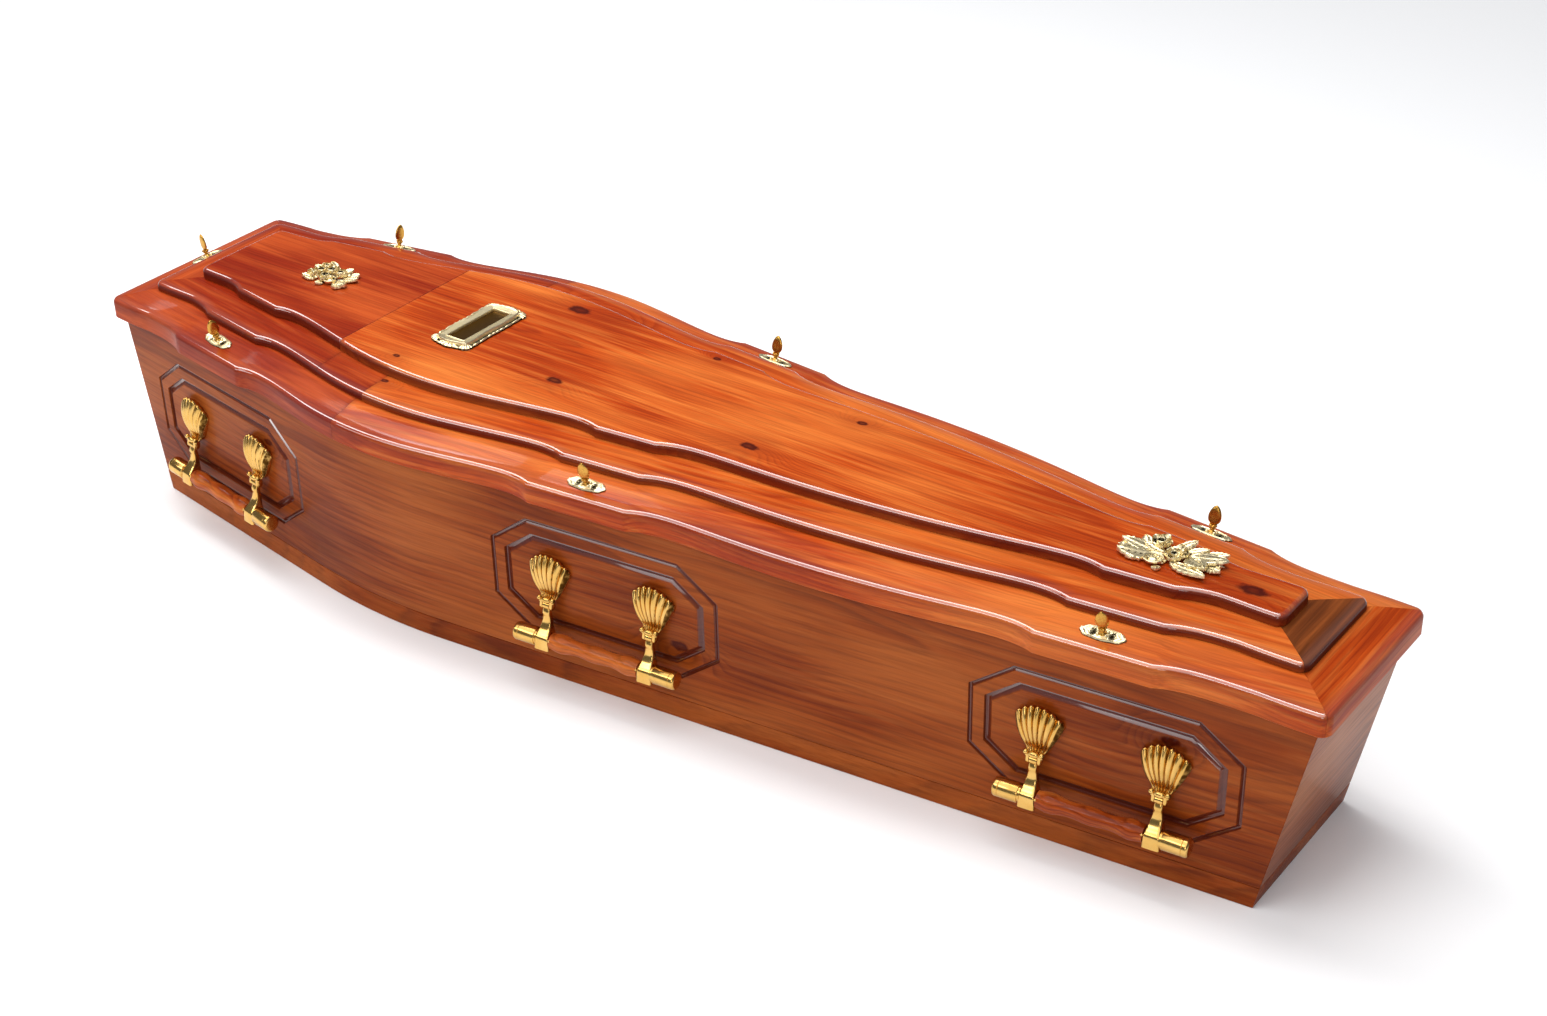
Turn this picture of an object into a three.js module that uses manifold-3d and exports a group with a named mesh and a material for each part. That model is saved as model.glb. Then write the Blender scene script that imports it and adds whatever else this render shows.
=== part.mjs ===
// Wooden coffin with a stepped lid, swing-bar handles, lid screws, a nameplate and two flower sprays.
// Millimetres. X runs along the length with the head at -X, Z is up and the underside lies on z = 0.
// Right and left are those of whoever lies inside, so the right side faces -Y.
import * as THREE from 'three';
import { mergeVertices } from 'three/addons/utils/BufferGeometryUtils.js';
import Module from 'manifold-3d';

const wasm = await Module();
wasm.setup();

// Plan of the lid's lower frame, which is the largest outline
const LENGTH = 1980;
const HEAD_HALF_WIDTH = 175;
const FOOT_HALF_WIDTH = 135;
const SHOULDER_HALF_WIDTH = 274;
const SHOULDER_FROM_HEAD = 590;
const SHOULDER_BEND = 120;
const HEAD_X = -LENGTH / 2;
const FOOT_X = LENGTH / 2;
const SHOULDER_X = HEAD_X + SHOULDER_FROM_HEAD;

// Box
const OVERHANG = 15;
const BOARD = 24;
const BASE_THICKNESS = 32;
const BOX_HEIGHT = 282;
const END_SLOPE = 57;

// Lid heights, each over the one below
const FRAME_EDGE_HEIGHT = 31;
const FRAME_RISE = 10;
const STEP_EDGE_HEIGHT = 12.5;
const STEP_RISE = 3;
const TOP_THICKNESS = 16;
const EDGE_ROUND = 7;
const TREAD_FLAT = 4;
const ROUND_PULL = 0.3;

// Lid insets from the outer edge of the lower frame
const STEP_INSET = 53;
const TOP_INSET = 107;
const RAIL_LAP = 24;

// Joints across the lid's long rails and its top panel, set out from the shoulder
const FRAME_JOINT_X = SHOULDER_X - 36;
const STEP_JOINT_HEAD_X = SHOULDER_X - 130;
const STEP_JOINT_FOOT_X = SHOULDER_X - 24;
const TOP_JOINT_X = SHOULDER_X - 135;

// Wavy long edges: a straight tab beside each lid screw, with a scoop on both sides of it
const SCREW_FROM_HEAD = 255;
const SCREW_FROM_SHOULDER = 376;
const SCREW_FROM_FOOT = 288;
const SCREW_X = [HEAD_X + SCREW_FROM_HEAD, SHOULDER_X + SCREW_FROM_SHOULDER, FOOT_X - SCREW_FROM_FOOT];
const SCREW_INSET = 27;
const TAB_HALF = 76;
const TAB_NARROWING = 0.28;
const SCOOP_DEPTH = 10;
const SCOOP_REACH = 58;
const BOW = 4;
const CORNER_ROUND = 14;

// Routed octagonal panels and the handles on them
const HANDLE_FROM_HEAD = 262;
const HANDLE_FROM_SHOULDER = 400;
const HANDLE_FROM_FOOT = 274;
const HANDLE_X = [HEAD_X + HANDLE_FROM_HEAD, SHOULDER_X + HANDLE_FROM_SHOULDER, FOOT_X - HANDLE_FROM_FOOT];
const PANEL_LENGTH = 360;
const PANEL_HEIGHT = 180;
const PANEL_CENTRE_Z = 156;
const PANEL_CHAMFER_LONG = 60;
const PANEL_CHAMFER_HIGH = 45;
const OUTER_GROOVE_WIDTH = 7;
const OUTER_GROOVE_DEPTH = 4;
const PANEL_BAND = 15;
const INNER_GROOVE_WIDTH = 11;
const INNER_GROOVE_DEPTH = 5;

// Handle hardware
const PLATE_SPACING = 164;
const PLATE_HALF_WIDTH = 33;
const PLATE_NECK_HALF = 17;
const PLATE_BOTTOM_Z = 135;
const PLATE_HEIGHT = 65;
const PLATE_DEPTH = 19;
const PLATE_RIM_DROP = 0.26;
const PLATE_EDGE_FALL = 0.35;
const PLATE_LOBE = 3;
const FLUTES = 7;
const FLUTE_DEPTH = 2.6;
const PIVOT_Z = 128;
const PIVOT_OUT = 14;
const PIN_RADIUS = 2.6;
const EYE_RADIUS = 5.6;
const EYE_WIDTH = 11;
const EAR_WIDTH = 4;
const EAR_LAP = 2;
const BAR_Z = 80;
const BAR_OUT = 25;
const ARM_WIDTH = 23;
const CAP_LENGTH = 36;
const CAP_RADIUS = 13;
const GRIP_RADIUS = 13.5;
const GRIP_WAIST = 11;

// Lid screws
const SCREW_PLATE_LENGTH = 60;
const SCREW_PLATE_WIDTH = 22;
const SCREW_PLATE_THICKNESS = 3.4;
const SCREW_NECK_HEIGHT = 11;
const LEAF_HEIGHT = 27;
const LEAF_WIDTH = 17;
const LEAF_THICKNESS = 5;
const SCREW_TURNS = [75, 12, 18, 70, 10, 15, 80];

// Nameplate and sprays
const NAMEPLATE_X = SHOULDER_X + 6;
const NAMEPLATE_LENGTH = 148;
const NAMEPLATE_WIDTH = 80;
const NAMEPLATE_HEIGHT = 8;
const NAMEPLATE_RECESS_LENGTH = 100;
const NAMEPLATE_RECESS_WIDTH = 32;
const SPRAY_FROM_HEAD = 302;
const SPRAY_FROM_FOOT = 274;
const SPRAY_X = [HEAD_X + SPRAY_FROM_HEAD, FOOT_X - SPRAY_FROM_FOOT];
const SPRAY_LENGTH = 118;
const SPRAY_HEIGHT = 11;
const PETALS = 5;

// Clearances
const GAP = 0.3;
const PIN_CLEARANCE = 0.5;
const MITRE_GAP = GAP / Math.SQRT2;

const FRAME_BOTTOM = BOX_HEIGHT + GAP;
const FRAME_TOP = BOX_HEIGHT + FRAME_EDGE_HEIGHT + FRAME_RISE;
const STEP_BOTTOM = FRAME_TOP + GAP;
const STEP_TOP = STEP_BOTTOM + STEP_EDGE_HEIGHT + STEP_RISE;
const TOP_BOTTOM = STEP_TOP + GAP;
const TOP_TOP = TOP_BOTTOM + TOP_THICKNESS;
const HEAD_SLOPE = (SHOULDER_HALF_WIDTH - HEAD_HALF_WIDTH) / (SHOULDER_X - HEAD_X);
const FOOT_SLOPE = (SHOULDER_HALF_WIDTH - FOOT_HALF_WIDTH) / (FOOT_X - SHOULDER_X);
const SIDES = [{ name: 'right', sign: -1 }, { name: 'left', sign: 1 }];
const PLACES = ['head', 'middle', 'foot'];

const coffin = new THREE.Group();

function finish(color, roughness, metalness) {
  return { color, roughness, metalness };
}
const PINE = finish(0xb5532a, 0.25, 0);
const PINE_RED = finish(0xc2491c, 0.22, 0);
const PINE_ORANGE = finish(0xcb5f22, 0.22, 0);
const WALNUT_BROWN = finish(0x6b3a1c, 0.25, 0);
const PINE_GREY = finish(0x8a5a48, 0.3, 0);
const BRASS = finish(0xb88722, 0.2, 1);
const PALE_BRASS = finish(0xc9b682, 0.3, 1);

function addPart(name, geometry, look) {
  const mesh = new THREE.Mesh(geometry, new THREE.MeshStandardMaterial(look));
  mesh.name = name;
  coffin.add(mesh);
  return mesh;
}

// Solid builders

function closedGeometry(points, triangles) {
  const geometry = new THREE.BufferGeometry();
  geometry.setAttribute('position', new THREE.Float32BufferAttribute(points.flatMap((p) => p.toArray()), 3));
  geometry.setIndex(triangles.flat());
  return signedVolume(points, triangles) < 0 ? flipped(geometry) : geometry;
}

function signedVolume(points, triangles) {
  let volume = 0;
  for (const [a, b, c] of triangles) {
    volume += points[a].dot(points[b].clone().cross(points[c])) / 6;
  }
  return volume;
}

function flipped(geometry) {
  geometry.setIndex(Array.from(geometry.index.array).reverse());
  return geometry;
}

function capTriangles(outline, offset) {
  return THREE.ShapeUtils.triangulateShape(outline, []).map((tri) => tri.map((i) => i + offset));
}

// A solid through sections of equal point count; the caps are triangulated on the given flat outlines.
function loft(sections, startOutline, endOutline) {
  const count = sections[0].length;
  const triangles = [];
  for (let s = 0; s < sections.length - 1; s += 1) {
    for (let i = 0; i < count; i += 1) {
      const a = s * count + i;
      const b = s * count + ((i + 1) % count);
      triangles.push([a, b, b + count], [a, b + count, a + count]);
    }
  }
  const last = (sections.length - 1) * count;
  triangles.push(...capTriangles(startOutline, 0).map(([a, b, c]) => [a, c, b]));
  triangles.push(...capTriangles(endOutline, last));
  return evenWinding(sections.flat(), triangles, sections, startOutline);
}

// Caps follow the walls' winding, whichever way round the outlines run.
function evenWinding(points, triangles, sections, startOutline) {
  if (THREE.ShapeUtils.area(startOutline) > 0) return closedGeometry(points, triangles);
  const walls = 2 * sections[0].length * (sections.length - 1);
  const turned = triangles.map(([a, b, c], i) => (i < walls ? [a, b, c] : [a, c, b]));
  return closedGeometry(points, turned);
}

// A closed ring of sections, used as a groove cutter.
function ringLoft(sections) {
  const count = sections[0].length;
  const total = sections.length * count;
  const triangles = [];
  for (let s = 0; s < sections.length; s += 1) {
    for (let i = 0; i < count; i += 1) {
      const a = s * count + i;
      const b = s * count + ((i + 1) % count);
      triangles.push([a, b, (b + count) % total], [a, (b + count) % total, (a + count) % total]);
    }
  }
  return closedGeometry(sections.flat(), triangles);
}

function plan(points) {
  return points.map((p) => new THREE.Vector2(p.x, p.y));
}

function toSolid(geometry) {
  const bare = geometry.clone();
  bare.deleteAttribute('normal');
  bare.deleteAttribute('uv');
  const merged = mergeVertices(bare, 1e-4);
  return new wasm.Manifold(new wasm.Mesh({
    numProp: 3,
    vertProperties: new Float32Array(merged.attributes.position.array),
    triVerts: new Uint32Array(merged.index.array),
  }));
}

function toGeometry(solid) {
  const mesh = solid.getMesh();
  const geometry = new THREE.BufferGeometry();
  geometry.setAttribute('position', new THREE.Float32BufferAttribute(mesh.vertProperties, 3));
  geometry.setIndex(Array.from(mesh.triVerts));
  return geometry;
}

function joined(geometries) {
  return toGeometry(geometries.map(toSolid).reduce((sum, solid) => sum.add(solid)));
}

function cut(geometry, cutters) {
  return toGeometry(cutters.map(toSolid).reduce((rest, solid) => rest.subtract(solid), toSolid(geometry)));
}

// Plan outline of the lid and the box

function bend(x, inset) {
  const head = SHOULDER_HALF_WIDTH - inset * Math.hypot(1, HEAD_SLOPE);
  const foot = SHOULDER_HALF_WIDTH - inset * Math.hypot(1, FOOT_SLOPE);
  const vertex = (foot - head) / (HEAD_SLOPE + FOOT_SLOPE);
  return { t: x - SHOULDER_X - vertex, peak: head + HEAD_SLOPE * vertex };
}

// Half width at x of the outline moved in by an inset, with the shoulder bent as a parabola.
function halfWidth(x, inset) {
  const { t, peak } = bend(x, inset);
  if (t <= -SHOULDER_BEND) return peak + HEAD_SLOPE * t;
  if (t >= SHOULDER_BEND) return peak - FOOT_SLOPE * t;
  const drop = ((HEAD_SLOPE + FOOT_SLOPE) / (4 * SHOULDER_BEND)) * (t * t + SHOULDER_BEND * SHOULDER_BEND);
  return peak + ((HEAD_SLOPE - FOOT_SLOPE) / 2) * t - drop;
}

function tabHalf(inset) {
  return TAB_HALF - TAB_NARROWING * inset;
}

function scoop(distance) {
  return SCOOP_DEPTH * (distance / SCOOP_REACH) * Math.exp(1 - distance / SCOOP_REACH);
}

// How far the wavy edge stands out from the plain outline at x.
function wave(x, inset) {
  const half = tabHalf(inset);
  const right = SCREW_X.findIndex((tab) => x < tab + half);
  if (right >= 0 && x > SCREW_X[right] - half) return 0;
  const end = FOOT_X - inset;
  if (right === 0) return -scoop(SCREW_X[0] - half - x) * endFade(end + x);
  if (right < 0) return -scoop(x - SCREW_X[SCREW_X.length - 1] - half) * endFade(end - x);
  const from = x - (SCREW_X[right - 1] + half);
  const bay = SCREW_X[right] - SCREW_X[right - 1] - 2 * half;
  return BOW * Math.sin((Math.PI * from) / bay) ** 2 - scoop(from) - scoop(bay - from);
}

function endFade(distance) {
  return Math.min(1, distance / (2 * CORNER_ROUND + SCOOP_REACH));
}

// Places along a long edge where the outline needs a point, the same count for every inset.
function edgeStations(inset, joints) {
  const end = FOOT_X - inset;
  const half = tabHalf(inset);
  const steps = [0.3, 1].map((share) => share * SCOOP_REACH);
  const kinks = SCREW_X.map((tab) => [tab - half, tab + half]);
  const before = (x) => steps.map((step) => x - step).reverse();
  const after = (x) => steps.map((step) => x + step);
  const [head, middle, foot] = kinks;
  const bay = foot[0] - middle[1];
  return [
    -end, -end + CORNER_ROUND, ...before(head[0]), ...head, ...after(head[1]),
    ...joints, SHOULDER_X + SHOULDER_BEND / 2, SHOULDER_X + SHOULDER_BEND,
    ...before(middle[0]), ...middle, ...after(middle[1]),
    ...[0.36, 0.64].map((share) => middle[1] + share * bay),
    ...before(foot[0]), ...foot, ...after(foot[1]), end - CORNER_ROUND, end,
  ];
}

// Inset at a corner, where the outer edge is rounded off.
function cornerInset(inset, outer) {
  return inset + Math.max(0, ROUND_PULL * (CORNER_ROUND - (inset - outer)));
}

function edgePoint(profile, stations, index, sign) {
  const { inset, z, outer } = profile;
  const atCorner = index === 0 || index === stations.length - 1;
  if (!atCorner) {
    const x = stations[index];
    return new THREE.Vector3(x, sign * (halfWidth(x, inset) + wave(x, inset) * waveShare(profile)), z);
  }
  const pulled = cornerInset(inset, outer);
  const x = Math.sign(stations[index]) * (FOOT_X - pulled);
  return new THREE.Vector3(x, sign * halfWidth(x, pulled), z);
}

// The hidden inner edge of a rail is straight.
function waveShare({ inset, outer }) {
  return inset > outer + TOP_INSET - STEP_INSET ? 0 : 1;
}

// Lid rails

function railProfile(outer, bottom, edgeTop, top) {
  const tread = outer + STEP_INSET - TREAD_FLAT;
  const inner = outer + STEP_INSET + RAIL_LAP;
  return [
    [outer, bottom], [outer, edgeTop - EDGE_ROUND],
    [outer + ROUND_PULL * EDGE_ROUND, edgeTop - ROUND_PULL * EDGE_ROUND], [outer + EDGE_ROUND, edgeTop],
    [tread, top], [inner, top], [inner, bottom],
  ].map(([inset, z]) => ({ inset, z, outer }));
}

function profileOutline(profile) {
  return profile.map(({ inset, z }) => new THREE.Vector2(inset, z));
}

// A rail along a long side, from one joint or corner to the next.
function sideRail(profile, joints, from, to, sign) {
  const count = edgeStations(0, joints).length;
  const last = to ?? count - 1;
  const sections = [];
  for (let i = from; i <= last; i += 1) {
    sections.push(profile.map((point) => {
      const place = edgePoint(point, edgeStations(point.inset, joints), i, sign);
      if (i === from) place.x += from === 0 ? MITRE_GAP : GAP / 2;
      if (i === last) place.x -= last === count - 1 ? MITRE_GAP : GAP / 2;
      return place;
    }));
  }
  return loft(sections, profileOutline(profile), profileOutline(profile));
}

// A rail across the head or the foot, mitred at both corners.
function endRail(profile, endSign) {
  const corner = (sign, gap) => profile.map(({ inset, z, outer }) => {
    const pulled = cornerInset(inset, outer);
    const x = endSign * (FOOT_X - pulled);
    return new THREE.Vector3(x, sign * (halfWidth(x, pulled) - gap), z);
  });
  const straight = (sign) => profile.map(({ inset, z }) => {
    const x = endSign * (FOOT_X - inset);
    return new THREE.Vector3(x, sign * (halfWidth(x, inset) - CORNER_ROUND), z);
  });
  const sections = [corner(-1, MITRE_GAP), straight(-1), straight(1), corner(1, MITRE_GAP)];
  return loft(sections, profileOutline(profile), profileOutline(profile));
}

// Where the first joint stands among the stations: just past the scoop beside the head tab.
const pastHeadTab = SCREW_X[0] + tabHalf(0) + SCOOP_REACH;
const jointIndex = edgeStations(0, []).findIndex((x) => x > pastHeadTab);

function addLidFrame() {
  const edgeTop = BOX_HEIGHT + FRAME_EDGE_HEIGHT;
  const profile = railProfile(0, FRAME_BOTTOM, edgeTop, FRAME_TOP);
  addPart('lid_frame_head_rail', endRail(profile, -1), PINE_RED);
  addPart('lid_frame_foot_rail', endRail(profile, 1), PINE_RED);
  for (const { name, sign } of SIDES) {
    const joints = [FRAME_JOINT_X];
    addPart(`lid_frame_${name}_head_rail`, sideRail(profile, joints, 0, jointIndex, sign), PINE_RED);
    addPart(`lid_frame_${name}_foot_rail`, sideRail(profile, joints, jointIndex, null, sign), PINE_ORANGE);
  }
}

function addLidStep() {
  const profile = railProfile(STEP_INSET, STEP_BOTTOM, STEP_BOTTOM + STEP_EDGE_HEIGHT, STEP_TOP);
  addPart('lid_step_head_rail', endRail(profile, -1), PINE_RED);
  addPart('lid_step_foot_rail', endRail(profile, 1), WALNUT_BROWN);
  const [right, left] = SIDES;
  const two = [STEP_JOINT_HEAD_X, STEP_JOINT_FOOT_X];
  addPart('lid_step_right_head_rail', sideRail(profile, two, 0, jointIndex, right.sign), PINE_RED);
  const shoulder = sideRail(profile, two, jointIndex, jointIndex + 1, right.sign);
  addPart('lid_step_right_shoulder', shoulder, PINE_RED);
  addPart('lid_step_right_foot_rail', sideRail(profile, two, jointIndex + 1, null, right.sign), PINE_ORANGE);
  const one = [STEP_JOINT_FOOT_X];
  addPart('lid_step_left_head_rail', sideRail(profile, one, 0, jointIndex, left.sign), PINE_RED);
  addPart('lid_step_left_foot_rail', sideRail(profile, one, jointIndex, null, left.sign), PINE_ORANGE);
}

// Top panel, two boards that meet at a joint across the lid

function topRing(inset, z, from, to, jointX) {
  const joints = [TOP_JOINT_X];
  const stations = edgeStations(inset, joints);
  const last = to ?? stations.length - 1;
  const ring = [];
  for (const sign of [-1, 1]) {
    const row = [];
    for (let i = from; i <= last; i += 1) {
      const point = edgePoint({ inset, z, outer: TOP_INSET }, stations, i, sign);
      if (i === jointIndex) point.x = jointX;
      row.push(point);
    }
    ring.push(...(sign < 0 ? row : row.reverse()));
  }
  return ring;
}

function topBoard(from, to, jointX) {
  const levels = [
    [TOP_INSET, TOP_BOTTOM], [TOP_INSET, TOP_TOP - EDGE_ROUND],
    [TOP_INSET + ROUND_PULL * EDGE_ROUND, TOP_TOP - ROUND_PULL * EDGE_ROUND],
    [TOP_INSET + EDGE_ROUND, TOP_TOP],
  ];
  const rings = levels.map(([inset, z]) => topRing(inset, z, from, to, jointX));
  return loft(rings, plan(rings[0]), plan(rings[rings.length - 1]));
}

function addTopPanel() {
  addPart('lid_top_head_board', topBoard(0, jointIndex, TOP_JOINT_X - GAP / 2), PINE_RED);
  addPart('lid_top_main_board', topBoard(jointIndex, null, TOP_JOINT_X + GAP / 2), PINE_ORANGE);
}

// Box

function boxEnd(z) {
  return FOOT_X - OVERHANG - (END_SLOPE * (BOX_HEIGHT - z)) / BOX_HEIGHT;
}

function boxStations(end) {
  const bendPoints = [-1, -0.6, -0.2, 0.2, 0.6, 1].map((share) => SHOULDER_X + share * SHOULDER_BEND);
  return [-end, ...bendPoints, end];
}

function baseBoard() {
  const rings = [0, BASE_THICKNESS].map((z) => {
    const xs = boxStations(boxEnd(z));
    const right = xs.map((x) => new THREE.Vector3(x, -halfWidth(x, OVERHANG), z));
    const left = xs.map((x) => new THREE.Vector3(x, halfWidth(x, OVERHANG), z)).reverse();
    return [...right, ...left];
  });
  return loft(rings, plan(rings[0]), plan(rings[1]));
}

const wallCorners = [[0, 0], [0, 1], [1, 1], [1, 0]].map(([inner, top]) => ({
  inset: inner * BOARD,
  z: top ? BOX_HEIGHT : BASE_THICKNESS + GAP,
}));
const wallOutline = wallCorners.map(({ inset, z }) => new THREE.Vector2(inset, z));

// Horizontal distance between the two faces of a sloping end board.
function endInset(inset) {
  return inset * Math.hypot(1, END_SLOPE / BOX_HEIGHT);
}

function sideBoard(sign) {
  const count = boxStations(boxEnd(0)).length;
  const sections = [];
  for (let i = 0; i < count; i += 1) {
    const shift = i === 0 ? MITRE_GAP : i === count - 1 ? -MITRE_GAP : 0;
    sections.push(wallCorners.map(({ inset, z }) => {
      const x = boxStations(boxEnd(z) - endInset(inset))[i];
      return new THREE.Vector3(x + shift, sign * halfWidth(x, OVERHANG + inset), z);
    }));
  }
  return loft(sections, wallOutline, wallOutline);
}

function endBoard(endSign) {
  const section = (sign) => wallCorners.map(({ inset, z }) => {
    const x = endSign * (boxEnd(z) - endInset(inset));
    return new THREE.Vector3(x, sign * (halfWidth(x, OVERHANG + inset) - MITRE_GAP), z);
  });
  return loft([section(-1), section(1)], wallOutline, wallOutline);
}

// The straight stretch of side that carries a handle: its middle point and its turn about Z.
function sideFrame(x, sign) {
  const y = sign * halfWidth(x, OVERHANG);
  const slope = halfWidth(x + 1, OVERHANG) - halfWidth(x, OVERHANG);
  const turn = sign < 0 ? -Math.atan(slope) : Math.PI + Math.atan(slope);
  return { x, y, turn };
}

function octagon(inset) {
  const long = PANEL_LENGTH / 2 - inset;
  const high = PANEL_HEIGHT / 2 - inset;
  const diagonal = Math.hypot(PANEL_CHAMFER_LONG, PANEL_CHAMFER_HIGH);
  const chamferLong = PANEL_CHAMFER_LONG - inset * (1 + (PANEL_CHAMFER_LONG - diagonal) / PANEL_CHAMFER_HIGH);
  const chamferHigh = PANEL_CHAMFER_HIGH - inset * (1 + (PANEL_CHAMFER_HIGH - diagonal) / PANEL_CHAMFER_LONG);
  const quarter = [[long, high - chamferHigh], [long - chamferLong, high]];
  const [a, b] = quarter;
  return [
    a, b, [-b[0], b[1]], [-a[0], a[1]], [-a[0], -a[1]], [-b[0], -b[1]], [b[0], -b[1]], [a[0], -a[1]],
  ];
}

// Groove cutter on the side's face; out is away from the wood.
function grooveCutter(start, profile) {
  const over = 2;
  const loop = [...profile.map(([s, depth]) => ({ s, out: -depth })),
    { s: profile[profile.length - 1][0], out: over }, { s: profile[0][0], out: over }];
  const rings = loop.map(({ s }) => octagon(start + s));
  const sections = octagon(0).map((_, corner) => loop.map(({ out }, i) => {
    const [along, up] = rings[i][corner];
    return new THREE.Vector3(along, -out, PANEL_CENTRE_Z + up);
  }));
  return ringLoft(sections);
}

function panelCutters(x, sign) {
  const outer = grooveCutter(0, [
    [0, 0], [0.4 * OUTER_GROOVE_WIDTH, OUTER_GROOVE_DEPTH], [OUTER_GROOVE_WIDTH, 0],
  ]);
  const inner = grooveCutter(OUTER_GROOVE_WIDTH + PANEL_BAND, [
    [0, 0], [0.2 * INNER_GROOVE_WIDTH, INNER_GROOVE_DEPTH],
    [0.45 * INNER_GROOVE_WIDTH, INNER_GROOVE_DEPTH], [INNER_GROOVE_WIDTH, 0],
  ]);
  const { y, turn } = sideFrame(x, sign);
  return [outer, inner].map((cutter) => cutter.rotateZ(turn).translate(x, y, 0));
}

function addBox() {
  addPart('base_board', baseBoard(), PINE);
  for (const { name, sign } of SIDES) {
    const cutters = HANDLE_X.flatMap((x) => panelCutters(x, sign));
    addPart(`${name}_side`, cut(sideBoard(sign), cutters), PINE);
  }
  addPart('head_end', endBoard(-1), PINE);
  addPart('foot_end', endBoard(1), PINE_GREY);
}

// Handles. X runs along the bar, -Y is away from the side and the origin is on the side's face.

function cylinderAlongX(radius, fromX, toX, sides, y, z) {
  return new THREE.CylinderGeometry(radius, radius, toX - fromX, sides)
    .rotateZ(Math.PI / 2).translate((fromX + toX) / 2, y, z);
}

function latheAlongX(profile, sides, y, z) {
  const points = profile.map(([x, radius]) => new THREE.Vector2(radius, x));
  return new THREE.LatheGeometry(points, sides).rotateZ(-Math.PI / 2).translate(0, y, z);
}

// Shell plate from its neck to its rim, as shares of its height and depth
const SHELL_ROWS = [[0, 0.95], [0.2, 0.64], [1, 1]];

// Fluted shell: rows from the band at its neck to the lobed rim, two columns to a flute.
function shellPlate(centre) {
  const columns = 2 * FLUTES;
  const front = SHELL_ROWS.map(([along, depth]) => {
    const row = [];
    for (let c = 0; c <= columns; c += 1) {
      const across = (2 * c) / columns - 1;
      const crest = c % 2;
      const half = PLATE_NECK_HALF + (PLATE_HALF_WIDTH - PLATE_NECK_HALF) * along ** 0.8;
      const drop = 1 - PLATE_RIM_DROP * across * across;
      const reach = PLATE_HEIGHT * along * drop + PLATE_LOBE * crest * along * along;
      const flute = FLUTE_DEPTH * (1 - crest) * (0.3 + 0.7 * along);
      const out = PLATE_DEPTH * depth * (1 - PLATE_EDGE_FALL * across ** 4) - flute;
      row.push(new THREE.Vector3(centre + half * across, -out, PLATE_BOTTOM_Z + reach));
    }
    return row;
  });
  return backedSheet(front, -GAP);
}

// Closes a front sheet of rows with walls and a flat back at the given y.
function backedSheet(front, backY) {
  const wide = front[0].length;
  const points = front.flat();
  const triangles = [];
  for (let r = 0; r < front.length - 1; r += 1) {
    for (let c = 0; c < wide - 1; c += 1) {
      const a = r * wide + c;
      triangles.push([a, a + 1, a + wide + 1], [a, a + wide + 1, a + wide]);
    }
  }
  const rim = [];
  for (let c = 0; c < wide; c += 1) rim.push(c);
  for (let r = 1; r < front.length; r += 1) rim.push(r * wide + wide - 1);
  for (let c = wide - 2; c >= 0; c -= 1) rim.push((front.length - 1) * wide + c);
  for (let r = front.length - 2; r > 0; r -= 1) rim.push(r * wide);
  const base = points.length;
  rim.forEach((index) => points.push(new THREE.Vector3(points[index].x, backY, points[index].z)));
  rim.forEach((index, i) => {
    const next = (i + 1) % rim.length;
    triangles.push([rim[next], index, base + i], [rim[next], base + i, base + next]);
  });
  const outline = rim.map((_, i) => new THREE.Vector2(points[base + i].x, points[base + i].z));
  triangles.push(...capTriangles(outline, base).map(([a, b, c]) => [a, c, b]));
  return closedGeometry(points, triangles);
}

function platePin(centre) {
  const reach = EYE_WIDTH / 2 + GAP + EAR_WIDTH;
  return cylinderAlongX(PIN_RADIUS, centre - reach + 1, centre + reach - 1, 6, -PIVOT_OUT, PIVOT_Z);
}

// Ear beside the arm's eye, running up into the plate.
function plateEar(centre, sign) {
  const from = centre + sign * (EYE_WIDTH / 2 + GAP);
  const outline = [];
  for (let i = 0; i <= 2; i += 1) {
    const angle = Math.PI * (1 + i / 2);
    outline.push([PIVOT_OUT + EYE_RADIUS * Math.cos(angle), PIVOT_Z + EYE_RADIUS * Math.sin(angle)]);
  }
  const top = PLATE_BOTTOM_Z + EAR_LAP;
  outline.push([PIVOT_OUT + EYE_RADIUS - EAR_WIDTH, top], [PIVOT_OUT - EYE_RADIUS, top]);
  const section = (x) => outline.map(([out, z]) => new THREE.Vector3(x, -out, z));
  const flat = outline.map(([out, z]) => new THREE.Vector2(out, z));
  return loft([section(from), section(from + sign * EAR_WIDTH)], flat, flat);
}

function handlePlate(centre) {
  return joined([shellPlate(centre), plateEar(centre, -1), plateEar(centre, 1), platePin(centre)]);
}

// Arm from its eye to the bar: it widens and swings outwards on its way down.
const ARM_CURVE = [
  { out: PIVOT_OUT, z: PIVOT_Z - 2, wide: EYE_WIDTH, deep: 8 },
  { out: PIVOT_OUT + 0.5, z: PIVOT_Z - 16, wide: EYE_WIDTH + 1, deep: 9 },
  { out: BAR_OUT - 6, z: BAR_Z + 16, wide: ARM_WIDTH - 5, deep: 13 },
  { out: BAR_OUT, z: BAR_Z, wide: ARM_WIDTH, deep: 1.8 * CAP_RADIUS },
];

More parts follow.
